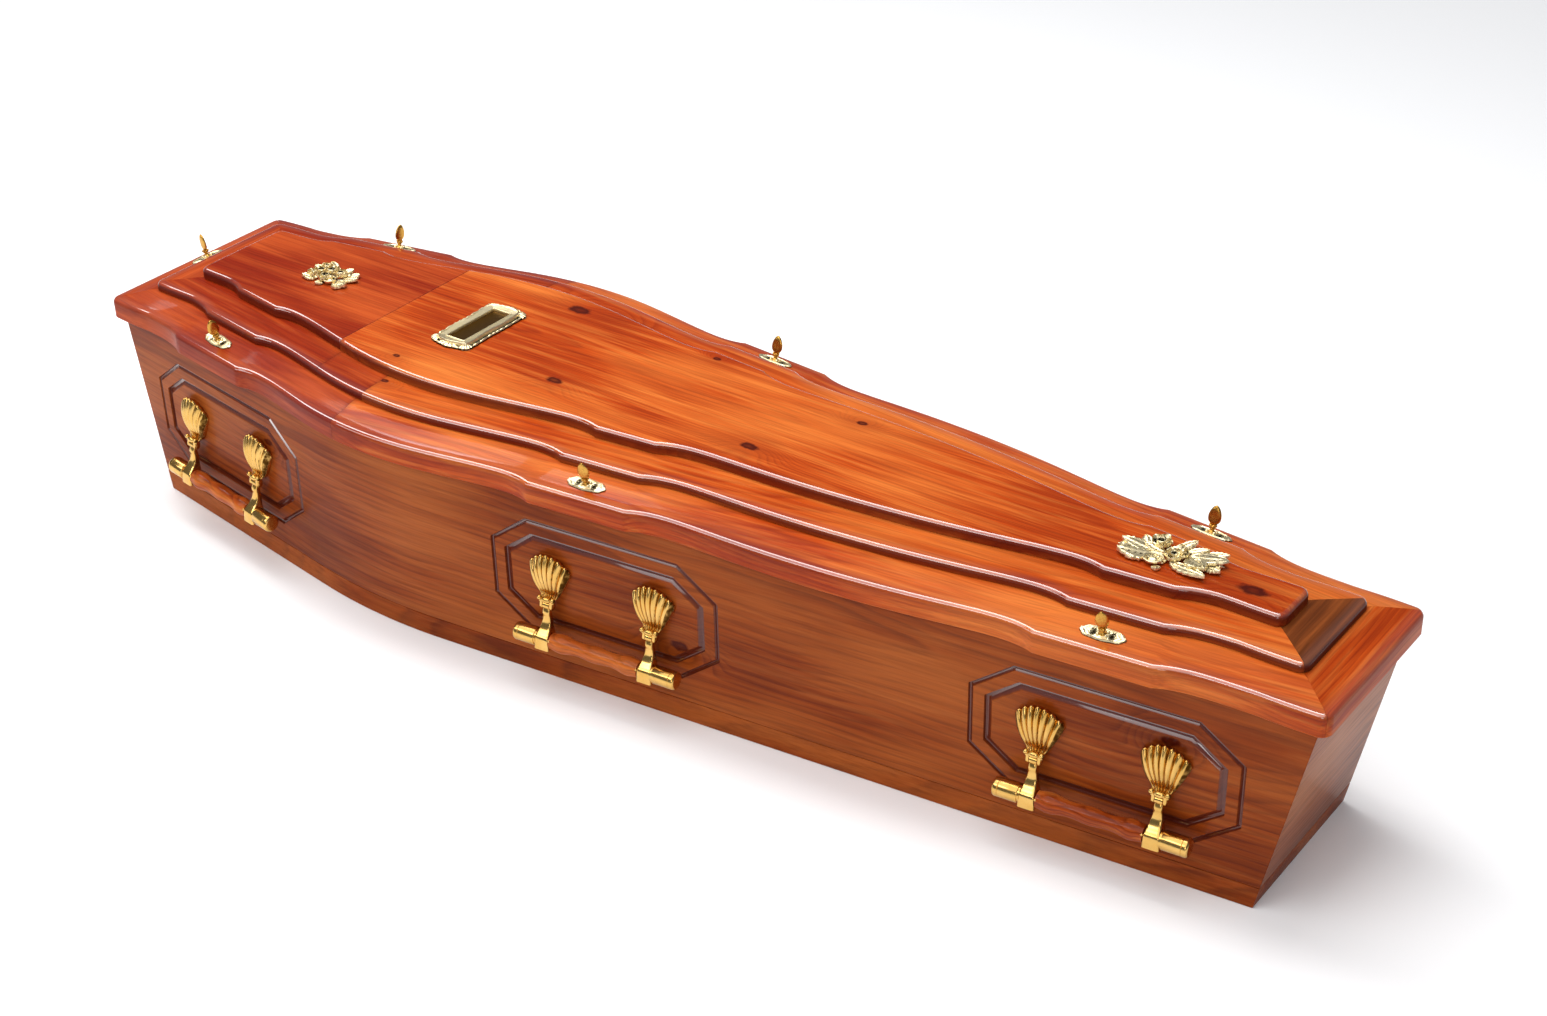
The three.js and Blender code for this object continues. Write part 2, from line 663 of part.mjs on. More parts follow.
// Arm with its eye, its socket on the bar and the round end cap beyond it.
function handleArm(sign) {
  const centre = (sign * PLATE_SPACING) / 2;
  const corners = [[-1, -1], [1, -1], [1, 1], [-1, 1]];
  const flat = corners.map(([a, b]) => new THREE.Vector2(a, b));
  const sections = ARM_CURVE.map(({ out, z, wide, deep }) => corners.map(([a, b]) => (
    new THREE.Vector3(centre + (a * wide) / 2, -out + (b * deep) / 2, z))));
  const start = PLATE_SPACING / 2 - ARM_WIDTH / 2;
  const end = start + ARM_WIDTH + CAP_LENGTH;
  const profile = [
    [start, 0], [start, CAP_RADIUS], [end - 4, CAP_RADIUS], [end, 0.6 * CAP_RADIUS], [end, 0],
  ].map(([x, radius]) => [sign * x, radius]);
  const socket = latheAlongX(sign > 0 ? profile : profile.reverse(), 8, -BAR_OUT, BAR_Z);
  const half = EYE_WIDTH / 2;
  const eye = cylinderAlongX(EYE_RADIUS, centre - half, centre + half, 8, -PIVOT_OUT, PIVOT_Z);
  const bore = cylinderAlongX(PIN_RADIUS + PIN_CLEARANCE, centre - half - 1, centre + half + 1, 6,
    -PIVOT_OUT, PIVOT_Z);
  return cut(joined([loft(sections, flat, flat), socket, eye]), [bore]);
}

// Turned grip from an end to its middle, as shares of its half length and its radius
const GRIP_SHAPE = [[1, 0.86], [0.76, 1], [0, 0.84]];

function handleGrip() {
  const half = PLATE_SPACING / 2 - ARM_WIDTH / 2 - GAP;
  const right = GRIP_SHAPE.map(([share, size]) => [share * half, Math.max(GRIP_RADIUS * size, GRIP_WAIST)]);
  const left = right.slice(0, -1).map(([x, radius]) => [-x, radius]);
  const profile = [[-half, 0], ...left, ...right.reverse(), [half, 0]];
  return latheAlongX(profile, 8, -BAR_OUT, BAR_Z);
}

function addHandle(side, place, x) {
  const name = `${side.name}_${place}_handle`;
  const { y, turn } = sideFrame(x, side.sign);
  const pieces = [
    addPart(`${name}_plate_a`, handlePlate(-PLATE_SPACING / 2), BRASS),
    addPart(`${name}_plate_b`, handlePlate(PLATE_SPACING / 2), BRASS),
    addPart(`${name}_arm_a`, handleArm(-1), BRASS),
    addPart(`${name}_arm_b`, handleArm(1), BRASS),
    addPart(`${name}_grip`, handleGrip(), PINE),
  ];
  for (const piece of pieces) {
    piece.position.set(x, y, 0);
    piece.rotation.z = turn;
  }
}

// Lid screws: an oval plate with a turned neck and an upright leaf to turn it by

function ellipseRing(halfLong, halfWide, z, count) {
  return Array.from({ length: count }, (_, i) => {
    const angle = (2 * Math.PI * i) / count;
    return new THREE.Vector3(halfLong * Math.cos(angle), halfWide * Math.sin(angle), z);
  });
}

// Corners round the oval plate, and the shares of its length and width that its top keeps
const OVAL_SIDES = 12;
const OVAL_TOP = { long: 0.86, wide: 0.8 };

function screwPlate() {
  const long = SCREW_PLATE_LENGTH / 2;
  const wide = SCREW_PLATE_WIDTH / 2;
  const rings = [
    ellipseRing(long, wide, 0, OVAL_SIDES),
    ellipseRing(OVAL_TOP.long * long, OVAL_TOP.wide * wide, SCREW_PLATE_THICKNESS, OVAL_SIDES),
  ];
  return loft(rings, plan(rings[0]), plan(rings[1]));
}

// Turned neck, radius and height, from inside the plate to inside the leaf
const NECK_PROFILE = [[0, 0.5], [6, 0.5], [2.8, 8], [4.2, SCREW_NECK_HEIGHT], [0, SCREW_NECK_HEIGHT + 2]];

function screwNeck() {
  const profile = NECK_PROFILE.map(([radius, z]) => new THREE.Vector2(radius, z));
  return new THREE.LatheGeometry(profile, 6).rotateX(Math.PI / 2);
}

// Half the leaf's outline from its stalk to its tip, as shares of its half width and its height
const LEAF_SHAPE = [[0.2, 0], [0.95, 0.22], [0.9, 0.6], [0, 1]];
const LEAF_FACE = 0.6;

function screwLeaf() {
  const outline = [
    ...LEAF_SHAPE.map(([x, z]) => [(x * LEAF_WIDTH) / 2, z * LEAF_HEIGHT]),
    ...LEAF_SHAPE.slice(0, -1).reverse().map(([x, z]) => [(-x * LEAF_WIDTH) / 2, z * LEAF_HEIGHT]),
  ];
  const middle = LEAF_HEIGHT * 0.45;
  const layer = (share, y) => outline.map(([x, z]) => new THREE.Vector3(x * share, y,
    SCREW_NECK_HEIGHT + middle + (z - middle) * share));
  const half = LEAF_THICKNESS / 2;
  const sections = [layer(LEAF_FACE, -half), layer(1, 0), layer(LEAF_FACE, half)];
  const flat = outline.map(([x, z]) => new THREE.Vector2(x, z));
  return loft(sections, flat, flat);
}

function lidScrew(turnDegrees) {
  const leaf = screwLeaf().rotateZ(THREE.MathUtils.degToRad(turnDegrees));
  return joined([screwPlate(), screwNeck(), leaf]);
}

// Height and tilt of the lower frame's sloping top at an inset.
function treadSlope() {
  return FRAME_RISE / (STEP_INSET - TREAD_FLAT - EDGE_ROUND);
}

function treadHeight(inset) {
  return BOX_HEIGHT + FRAME_EDGE_HEIGHT + treadSlope() * (inset - EDGE_ROUND);
}

function placeOnTread(mesh, x, y, turn) {
  const holder = new THREE.Group();
  holder.position.set(x, y, treadHeight(SCREW_INSET) + GAP);
  holder.rotation.z = turn;
  mesh.rotation.x = Math.atan(treadSlope());
  coffin.remove(mesh);
  holder.add(mesh);
  coffin.add(holder);
}

function addLidScrews() {
  SIDES.forEach((side, s) => {
    SCREW_X.forEach((x, i) => {
      const slope = halfWidth(x + 1, SCREW_INSET) - halfWidth(x, SCREW_INSET);
      const turn = side.sign < 0 ? -Math.atan(slope) : Math.PI + Math.atan(slope);
      const screw = lidScrew(SCREW_TURNS[SCREW_X.length * s + i]);
      const mesh = addPart(`${side.name}_${PLACES[i]}_lid_screw`, screw, PALE_BRASS);
      placeOnTread(mesh, x, side.sign * halfWidth(x, SCREW_INSET), turn);
    });
  });
  const mesh = addPart('head_end_lid_screw', lidScrew(SCREW_TURNS[2 * SCREW_X.length]), PALE_BRASS);
  placeOnTread(mesh, HEAD_X + SCREW_INSET, 0, -Math.PI / 2);
}

// Nameplate: a scrolled rim around a sloping border and a bare sunk panel

const RIM_SCROLLS = 14;

function nameplateRing(share, z) {
  const count = 2 * RIM_SCROLLS;
  return Array.from({ length: count }, (_, i) => {
    const angle = (2 * Math.PI * (i + 0.5)) / count;
    const reach = 1 / Math.max(Math.abs(Math.cos(angle)), Math.abs(Math.sin(angle)));
    const unit = [Math.cos(angle) * reach, Math.sin(angle) * reach];
    const scroll = 1 - 0.05 * (1 + Math.cos(4 * angle)) - 0.05 * (i % 2) * share;
    const outerX = (unit[0] * NAMEPLATE_WIDTH * scroll) / 2;
    const outerY = (unit[1] * NAMEPLATE_LENGTH * scroll) / 2;
    const innerX = (unit[0] * NAMEPLATE_RECESS_WIDTH) / 2;
    const innerY = (unit[1] * NAMEPLATE_RECESS_LENGTH) / 2;
    return new THREE.Vector3(innerX + share * (outerX - innerX), innerY + share * (outerY - innerY), z);
  });
}

function nameplate() {
  const high = NAMEPLATE_HEIGHT;
  const rings = [nameplateRing(1, 0), nameplateRing(0.85, high), nameplateRing(0.05, 0.7 * high),
    nameplateRing(0, 0.25 * high)];
  return loft(rings, plan(rings[0]), plan(rings[rings.length - 1]));
}

// Flower sprays: two open flowers, leaves and buds, cast in one piece

// A diamond-shaped petal or leaf with a raised point, on a flat base.
function petal(length, width, height) {
  return new THREE.ConeGeometry(0.5, height, 4, 1).rotateX(Math.PI / 2)
    .scale(length, width, 1).translate(length / 2, 0, height / 2);
}

// Rings of an open flower: reach at a petal's tip, reach between petals, and height, as shares
const FLOWER_RINGS = [[1, 0.6, 0], [1, 0.6, 0.6], [0.4, 0.3, 0.4], [0.2, 0.2, 1]];

// An open flower: a star of petals that rises to its tips and again to the heart.
function flower(size, height) {
  const star = (tip, valley, z) => Array.from({ length: 2 * PETALS }, (_, i) => {
    const angle = (Math.PI * i) / PETALS;
    const reach = size * (i % 2 ? valley : tip);
    return new THREE.Vector3(reach * Math.cos(angle), reach * Math.sin(angle), z * height);
  });
  const rings = FLOWER_RINGS.map(([tip, valley, z]) => star(tip, valley, z));
  return loft(rings, plan(rings[0]), plan(rings[rings.length - 1]));
}

// Flowers and leaves of a spray, as shares of its half length; turns in degrees
const SPRAY_FLOWERS = [
  { size: 0.42, x: 0.2, y: 0.02, high: 1 },
  { size: 0.36, x: -0.32, y: -0.08, high: 0.85 },
];
const SPRAY_LEAVES = [
  { length: 0.8, turn: 0, x: 0.2, y: 0 },
  { length: 0.62, turn: 35, x: 0.1, y: 0.05 },
  { length: 0.6, turn: -38, x: 0.12, y: -0.05 },
  { length: 0.72, turn: 180, x: -0.28, y: 0 },
  { length: 0.62, turn: 146, x: -0.25, y: 0 },
  { length: 0.55, turn: -140, x: -0.25, y: -0.05 },
];
const SPRAY_LEAF_WIDTH = 0.26;
const SPRAY_LEAF_HEIGHT = 0.55;

function flowerSpray() {
  const unit = SPRAY_LENGTH / 2;
  const flowers = SPRAY_FLOWERS.map(({ size, x, y, high }) => (
    flower(size * unit, high * SPRAY_HEIGHT).translate(x * unit, y * unit, 0)));
  const leaves = SPRAY_LEAVES.map(({ length, turn, x, y }) => (
    petal(length * unit, SPRAY_LEAF_WIDTH * unit, SPRAY_LEAF_HEIGHT * SPRAY_HEIGHT)
      .rotateZ(THREE.MathUtils.degToRad(turn)).translate(x * unit, y * unit, 0)));
  return joined([...flowers, ...leaves]);
}

function addOrnaments() {
  const seat = TOP_TOP + GAP;
  addPart('nameplate', nameplate(), PALE_BRASS).position.set(NAMEPLATE_X, 0, seat);
  const [head, foot] = SPRAY_X;
  addPart('head_flower_spray', flowerSpray(), PALE_BRASS).position.set(head, 0, seat);
  addPart('foot_flower_spray', flowerSpray(), PALE_BRASS).position.set(foot, 0, seat);
}

addBox();
addLidFrame();
addLidStep();
addTopPanel();
for (const side of SIDES) {
  HANDLE_X.forEach((x, i) => addHandle(side, PLACES[i], x));
}
addLidScrews();
addOrnaments();

export default coffin;
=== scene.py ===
"""Wooden coffin with a stepped lid, swing handles, lid screws, a nameplate and two flower sprays.

Metres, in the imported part's frame: X runs along the length with the head at -X, Z is up and the
underside lies on z = 0. The right side of whoever lies inside faces -Y.
"""
import math

import bmesh
import bpy
from bpy.props import FloatProperty, FloatVectorProperty, IntProperty, PointerProperty
from bpy.types import Operator, Panel, PropertyGroup
from mathutils import Matrix, Vector


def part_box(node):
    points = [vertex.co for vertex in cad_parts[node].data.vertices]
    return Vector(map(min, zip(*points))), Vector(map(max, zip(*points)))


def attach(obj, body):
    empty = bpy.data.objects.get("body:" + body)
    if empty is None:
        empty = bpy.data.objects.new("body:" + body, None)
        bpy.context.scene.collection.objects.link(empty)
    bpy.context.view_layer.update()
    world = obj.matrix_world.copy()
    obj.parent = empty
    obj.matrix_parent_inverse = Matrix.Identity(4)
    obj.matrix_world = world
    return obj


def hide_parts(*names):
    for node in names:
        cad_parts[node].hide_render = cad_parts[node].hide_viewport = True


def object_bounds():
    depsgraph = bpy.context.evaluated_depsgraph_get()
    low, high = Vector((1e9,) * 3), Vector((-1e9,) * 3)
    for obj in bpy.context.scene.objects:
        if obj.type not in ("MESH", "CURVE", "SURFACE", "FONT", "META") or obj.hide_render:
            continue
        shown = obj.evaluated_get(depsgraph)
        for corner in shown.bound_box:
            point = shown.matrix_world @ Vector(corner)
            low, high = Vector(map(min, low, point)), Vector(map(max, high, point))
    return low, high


bl_info = {
    "name": "Wooden coffin",
    "version": (1, 0, 0),
    "blender": (4, 5, 0),
    "location": "3D View > Sidebar > Coffin",
    "description": "Builds a lacquered coffin with a stepped lid and cast brass fittings",
    "category": "Object",
}

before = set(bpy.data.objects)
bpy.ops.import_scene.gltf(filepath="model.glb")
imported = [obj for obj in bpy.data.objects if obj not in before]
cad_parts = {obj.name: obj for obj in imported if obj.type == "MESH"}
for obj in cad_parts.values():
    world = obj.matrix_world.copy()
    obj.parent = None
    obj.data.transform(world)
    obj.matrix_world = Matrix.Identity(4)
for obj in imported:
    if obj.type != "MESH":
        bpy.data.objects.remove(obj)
CAD_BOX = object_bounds()

MM = 0.001
GAP = 0.3 * MM  # glue lines, and the air between pieces that rest on each other
SOFT = 1.3 * MM  # easing of a board's sharp edges
MITRE_GAP = GAP / math.sqrt(2)
BODY = "coffin"
SIDES = (("right", -1), ("left", 1))
PLACES = ("head", "middle", "foot")


# Colours and nodes

def linear(code):
    """The linear colour that a shader socket takes, from an sRGB hex value."""
    parts = [int(code[i:i + 2], 16) / 255 for i in (1, 3, 5)]
    bent = [c / 12.92 if c <= 0.04045 else ((c + 0.055) / 1.055) ** 2.4 for c in parts]
    return (*bent, 1.0)


def node(tree, kind, inputs=None, stops=None, **settings):
    """Adds a node. Each input is a socket to link or a value, and settings are the node's own."""
    made = tree.nodes.new(kind)
    for key, value in settings.items():
        setattr(made, key, value)
    for key, value in (inputs or {}).items():
        socket = made.inputs[key]
        if isinstance(value, bpy.types.NodeSocket):
            tree.links.new(value, socket)
        else:
            socket.default_value = value
    if stops:
        elements = made.color_ramp.elements
        while len(elements) < len(stops):
            elements.new(0.5)
        for element, (position, colour) in zip(elements, stops):
            element.position = position
            element.color = colour
    return made


# Settings in the sidebar

def length(name, description, default):
    return FloatProperty(name=name, description=description, default=default, unit="LENGTH")


def colour(name, description, code):
    return FloatVectorProperty(name=name, description=description, default=linear(code),
                               subtype="COLOR", size=4, min=0, max=1)


class CoffinSizes(PropertyGroup):
    """Main sizes of the box and the lid."""
    length: length("Length", "Length of the lid", CAD_BOX[1][0] - CAD_BOX[0][0])
    head_half_width: length("Head half width", "Half the lid's width at the head", 0.175)
    foot_half_width: length("Foot half width", "Half the lid's width at the foot", 0.135)
    shoulder_half_width: length("Shoulder half width", "Half width where the two tapers would meet",
                                0.274)
    shoulder_from_head: length("Shoulder from head", "Distance from the head end to the shoulder",
                               0.590)
    shoulder_bend: length("Shoulder bend", "Half the length over which the shoulder is bent", 0.120)
    overhang: length("Overhang", "How far the lid stands over the box", 0.015)
    board: length("Board", "Thickness of the box's boards", 0.024)
    base_thickness: length("Base thickness", "Thickness of the base board",
                           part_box("base_board")[1].z)
    box_height: length("Box height", "Height of the box without its lid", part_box("right_side")[1].z)
    end_slope: length("End slope", "How far an end board leans out over its height", 0.057)
    frame_edge: length("Lower frame edge", "Height of the lower frame's outer edge", 0.031)
    frame_rise: length("Lower frame rise", "How far the lower frame's top slopes up", 0.010)
    step_edge: length("Middle frame edge", "Height of the middle frame's outer edge", 0.0125)
    step_rise: length("Middle frame rise", "How far the middle frame's top slopes up", 0.003)
    top_thickness: length("Top thickness", "Thickness of the top panel", 0.016)
    edge_round: length("Edge rounding", "Radius of the rounded upper edges", 0.007)
    step_inset: length("Middle frame inset", "Inset of the middle frame from the lid's edge", 0.053)
    top_inset: length("Top inset", "Inset of the top panel from the lid's edge", 0.107)
    rail_lap: length("Rail lap", "How far a rail runs on under the tier above", 0.024)
    scoop_depth: length("Scoop depth", "Depth of the scoops beside the lid screws", 0.010)
    scoop_reach: length("Scoop reach", "Distance from a tab to the scoop's deepest place", 0.058)
    bow: length("Bow", "How far the edge bows out between two tabs", 0.004)
    tab_half: length("Tab half length", "Half the straight tab beside a lid screw", 0.076)
    corner_round: length("Corner rounding", "Radius of the lid's corners in plan", 0.014)


class CoffinFittings(PropertyGroup):
    """Sizes of the routed panels and the metal fittings."""
    panel_length: length("Panel length", "Length of a routed panel", 0.360)
    panel_height: length("Panel height", "Height of a routed panel", 0.180)
    panel_centre: length("Panel centre", "Height of the panels' centres", 0.156)
    plate_spacing: length("Plate spacing", "Distance between a handle's two shell plates", 0.164)
    plate_height: length("Plate height", "Height of a shell plate", 0.065)
    plate_half_width: length("Plate half width", "Half the width of a shell's rim", 0.033)
    plate_depth: length("Plate depth", "How far a shell stands out", 0.019)
    flutes: IntProperty(
        name="Flutes", description="Number of flutes on a shell", default=7, min=3, max=15)
    arm_width: length("Arm width", "Width of a handle arm at the bar", 0.023)
    cap_length: length("Cap length", "Length of a bar's end cap", 0.036)
    cap_radius: length("Cap radius", "Radius of a bar's end cap", 0.013)
    grip_radius: length("Grip radius", "Largest radius of the turned grip", 0.0135)
    nameplate_length: length("Nameplate length", "Length of the nameplate across the lid", 0.148)
    nameplate_width: length("Nameplate width", "Width of the nameplate along the lid", 0.080)


class CoffinColours(PropertyGroup):
    """Main colours of the wood and the metal."""
    side_wood: colour("Side wood", "Lacquered pine of the box", "#8A3A0C")
    lid_wood: colour("Lid wood", "Orange pine of the lid", "#B4440E")
    head_wood: colour("Head wood", "Redder pine at the lid's head", "#8C2A0A")
    walnut: colour("Foot rail wood", "Dark brown rail at the foot", "#461C0A")
    brass: colour("Brass", "Polished brass of the handles", "#E2BC74")
    cast_brass: colour("Cast brass", "Pale brass of the plates and sprays", "#FCECC8")


# Plan of the lid and the box

class Outline:
    """Half widths, the wavy long edges and the rounded corners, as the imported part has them."""

    def __init__(self, sizes):
        self.s = sizes
        self.foot_x = sizes.length / 2
        self.head_x = -self.foot_x
        self.shoulder_x = self.head_x + sizes.shoulder_from_head
        wide = sizes.shoulder_half_width
        self.head_slope = (wide - sizes.head_half_width) / sizes.shoulder_from_head
        self.foot_slope = (wide - sizes.foot_half_width) / (self.foot_x - self.shoulder_x)
        # Each screw and handle is measured from the landmark nearest to it in the photo
        self.screws = (self.head_x + 0.255, self.shoulder_x + 0.376, self.foot_x - 0.288)
        self.handles = (self.head_x + 0.262, self.shoulder_x + 0.400, self.foot_x - 0.274)
        self.frame_bottom = sizes.box_height + GAP
        self.frame_edge_top = sizes.box_height + sizes.frame_edge
        self.frame_top = self.frame_edge_top + sizes.frame_rise
        self.step_bottom = self.frame_top + GAP
        self.step_edge_top = self.step_bottom + sizes.step_edge
        self.step_top = self.step_edge_top + sizes.step_rise
        self.top_bottom = self.step_top + GAP
        self.top_top = self.top_bottom + sizes.top_thickness

    def half_width(self, x, inset):
        """Half width at x of the outline moved in by an inset, the shoulder bent as a parabola."""
        wide, bend = self.s.shoulder_half_width, self.s.shoulder_bend
        up, down = self.head_slope, self.foot_slope
        head = wide - inset * math.hypot(1, up)
        foot = wide - inset * math.hypot(1, down)
        vertex = (foot - head) / (up + down)
        t = x - self.shoulder_x - vertex
        peak = head + up * vertex
        if t <= -bend:
            return peak + up * t
        if t >= bend:
            return peak - down * t
        return peak + (up - down) / 2 * t - (up + down) / (4 * bend) * (t * t + bend * bend)

    def tab(self, inset):
        """Half the straight tab beside a screw, which gets shorter on the inner tiers."""
        return self.s.tab_half - 0.28 * inset

    def scoop(self, distance):
        """Depth of a scoop at a distance from its tab: a quick dip and a slow way back."""
        share = distance / self.s.scoop_reach
        return self.s.scoop_depth * share * math.exp(1 - share)

    def wave(self, x, inset):
        """How far the wavy edge stands out from the plain outline: straight tabs, scoops, bows."""
        half = self.tab(inset)
        right = next((i for i, screw in enumerate(self.screws) if x < screw + half), None)
        end = self.foot_x - inset
        fade = 2 * self.s.corner_round + self.s.scoop_reach
        if right is not None and x > self.screws[right] - half:
            return 0.0
        if right == 0:
            return -self.scoop(self.screws[0] - half - x) * min(1, (end + x) / fade)
        if right is None:
            return -self.scoop(x - self.screws[-1] - half) * min(1, (end - x) / fade)
        start = x - self.screws[right - 1] - half
        bay = self.screws[right] - self.screws[right - 1] - 2 * half
        swell = self.s.bow * math.sin(math.pi * start / bay) ** 2
        return swell - self.scoop(start) - self.scoop(bay - start)

    def keys(self, inset, outer, joints):
        """Places that every inset has along a long edge: corner, tab ends and joints."""
        radius = max(0.0, self.s.corner_round - (inset - outer))
        end = self.foot_x - inset
        half = self.tab(inset)
        tabs = [edge for x in self.screws for edge in (x - half, x + half)]
        return [-end + radius, *tabs[:2], *joints, *tabs[2:], end - radius]

    def corner(self, inset, outer, z, end_sign, side_sign, start, stop):
        """Rounded corner in plan, from 0 degrees on the end edge to 90 on the long edge."""
        radius = max(0.0, self.s.corner_round - (inset - outer))
        points = []
        for i in range(7):
            angle = math.radians(start + (stop - start) * i / 6)
            x = end_sign * (self.foot_x - inset - radius * (1 - math.cos(angle)))
            share = max(0.0, math.degrees(angle) - 45) / 45
            pull = radius * (1 - math.sin(angle)) - share * self.wave(x, inset)
            points.append(Vector((x, side_sign * (self.half_width(x, inset) - pull), z)))
        return points

    def long_row(self, inset, outer, z, joints, first, last, side_sign, wavy=True):
        """Points along a long edge between two keys, with half a corner at an end of the lid."""
        spans = self.keys(outer, outer, joints)
        keys = self.keys(inset, outer, joints)
        xs = []
        for k in range(first, last):
            steps = max(1, round((spans[k + 1] - spans[k]) / 0.008))
            xs += [keys[k] + (keys[k + 1] - keys[k]) * i / steps for i in range(steps)]
        xs.append(keys[last])
        row = [Vector((x, side_sign * (self.half_width(x, inset)
                                       + (self.wave(x, inset) if wavy else 0)), z)) for x in xs]
        if first == 0:
            row = self.corner(inset, outer, z, -1, side_sign, 45, 90)[:-1] + row
        if last == len(keys) - 1:
            row += self.corner(inset, outer, z, 1, side_sign, 45, 90)[-2::-1]
        return row

    def end_row(self, inset, outer, z, end_sign):
        """Points across an end, from one mitre to the other."""
        right = self.corner(inset, outer, z, end_sign, -1, 45, 0)
        left = self.corner(inset, outer, z, end_sign, 1, 0, 45)
        return right + left

    def box_end(self, z):
        """Distance from the middle of the length to the box's sloping end at a height."""
        lean = self.s.end_slope * (self.s.box_height - z) / self.s.box_height
        return self.foot_x - self.s.overhang - lean

    def side_turn(self, x, inset, side_sign):
        """Turn about Z of a fitting that faces out from the long edge at x."""
        slope = (self.half_width(x + 0.001, inset) - self.half_width(x, inset)) / 0.001
        return -math.atan(slope) if side_sign < 0 else math.pi + math.atan(slope)

    def side_place(self, x, side_sign):
        """Matrix from a handle's own frame, which has -Y away from the wood, to the side's face."""
        y = side_sign * self.half_width(x, self.s.overhang)
        turn = self.side_turn(x, self.s.overhang, side_sign)
        return Matrix.Translation((x, y, 0)) @ Matrix.Rotation(turn, 4, "Z")


# Mesh helpers

def skin(bm, rows, closed=True, caps=True):
    """Faces through rows of equal length, closed into a tube and capped where asked."""
    made = [[bm.verts.new(point) for point in row] for row in rows]
    count = len(made[0])
    for low, high in zip(made, made[1:]):
        for i in range(count if closed else count - 1):
            j = (i + 1) % count
            bm.faces.new((low[i], low[j], high[j], high[i]))
    if caps:
        bm.faces.new(made[0][::-1])
        bm.faces.new(made[-1])
    return made


def turned(bm, profile, sides, axis="X", centre=(0, 0, 0)):
    """A lathe-turned solid from (place along the axis, radius) pairs, closed at both ends."""
    rows = []
    for along, radius in profile:
        ring = []
        for i in range(sides):
            angle = 2 * math.pi * i / sides
            a, b = radius * math.cos(angle), radius * math.sin(angle)
            spot = (along, a, b) if axis == "X" else (a, b, along)
            ring.append(Vector(spot) + Vector(centre))
        rows.append(ring)
    return skin(bm, rows)


def ball(bm, centre, size, sides):
    """An ellipsoid bead."""
    rows = []
    for i in range(sides // 2 + 1):
        tilt = math.pi * i / (sides // 2)
        rows.append([Vector(centre) + Vector((
            size[0] * math.sin(tilt) * math.cos(2 * math.pi * j / sides),
            size[1] * math.sin(tilt) * math.sin(2 * math.pi * j / sides),
            size[2] * math.cos(tilt))) for j in range(sides)])
    return skin(bm, rows)


def mm(*pairs):
    """Pairs of millimetres as pairs of metres."""
    return [(a * MM, b * MM) for a, b in pairs]


def bell(away, width):
    """1 at a distance of nothing, falling to nothing past the width, for rims, ribs and bosses."""
    return math.exp(-(away / width) ** 2)


def clamp(value, low=0.0):
    return max(low, min(1.0, value))


def swelled(value, power):
    """A sine or cosine to a power with its sign kept, which squares off or points a round."""
    return math.copysign(abs(value) ** power, value)


def mend(bm):
    """Merges doubles, drops slivers and turns every face outwards."""
    bmesh.ops.remove_doubles(bm, verts=bm.verts, dist=0.002 * MM)
    bmesh.ops.dissolve_degenerate(bm, edges=bm.edges, dist=0.001 * MM)
    bmesh.ops.recalc_face_normals(bm, faces=bm.faces)


def paint(mesh, name, kind, value):
    """Writes a vertex attribute whose value is a function of the vertex's place."""
    layer = mesh.attributes.new(name, kind, "POINT")
    for item, vertex in zip(layer.data, mesh.vertices):
        if kind == "FLOAT_VECTOR":
            item.vector = value(vertex.co)
        else:
            item.value = value(vertex.co)


def to_object(name, bm, finish, sharp=32):
    """A mesh object at the origin, its place in its mesh, smooth but for edges past an angle."""
    mend(bm)
    mesh = bpy.data.meshes.new(name)
    bm.to_mesh(mesh)
    bm.free()
    mesh.polygons.foreach_set("use_smooth", [True] * len(mesh.polygons))
    mesh.set_sharp_from_angle(angle=math.radians(sharp))
    mesh.materials.append(finish)
    return linked(name, mesh)


def evaluated(made, name):
    """Swaps an object's data for a plain mesh of what its modifiers show, and removes them."""
    graph = bpy.context.evaluated_depsgraph_get()
    mesh = bpy.data.meshes.new_from_object(made.evaluated_get(graph))
    mesh.name = name
    made.modifiers.clear()
    made.data = mesh
    return made


def linked(name, data):
    """A new object in the scene with the given mesh, light or camera."""
    made = bpy.data.objects.new(name, data)
    bpy.context.scene.collection.objects.link(made)
    return made


def discard(*objects):
    for made in objects:
        bpy.data.objects.remove(made)


def joined(name, objects):
    """One object from several, all at the origin and of one finish."""
    bm = bmesh.new()
    for made in objects:
        bm.from_mesh(made.data)
    mesh = bpy.data.meshes.new(name)
    bm.to_mesh(mesh)
    bm.free()
    for finish in objects[0].data.materials:
        mesh.materials.append(finish)
    discard(*objects)
    return linked(name, mesh)


def settle(made, slot, *nodes, body=BODY):
    """Rides a finished piece on its body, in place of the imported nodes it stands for."""
    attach(made, body)
    if nodes:
        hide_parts(*nodes)
    return made


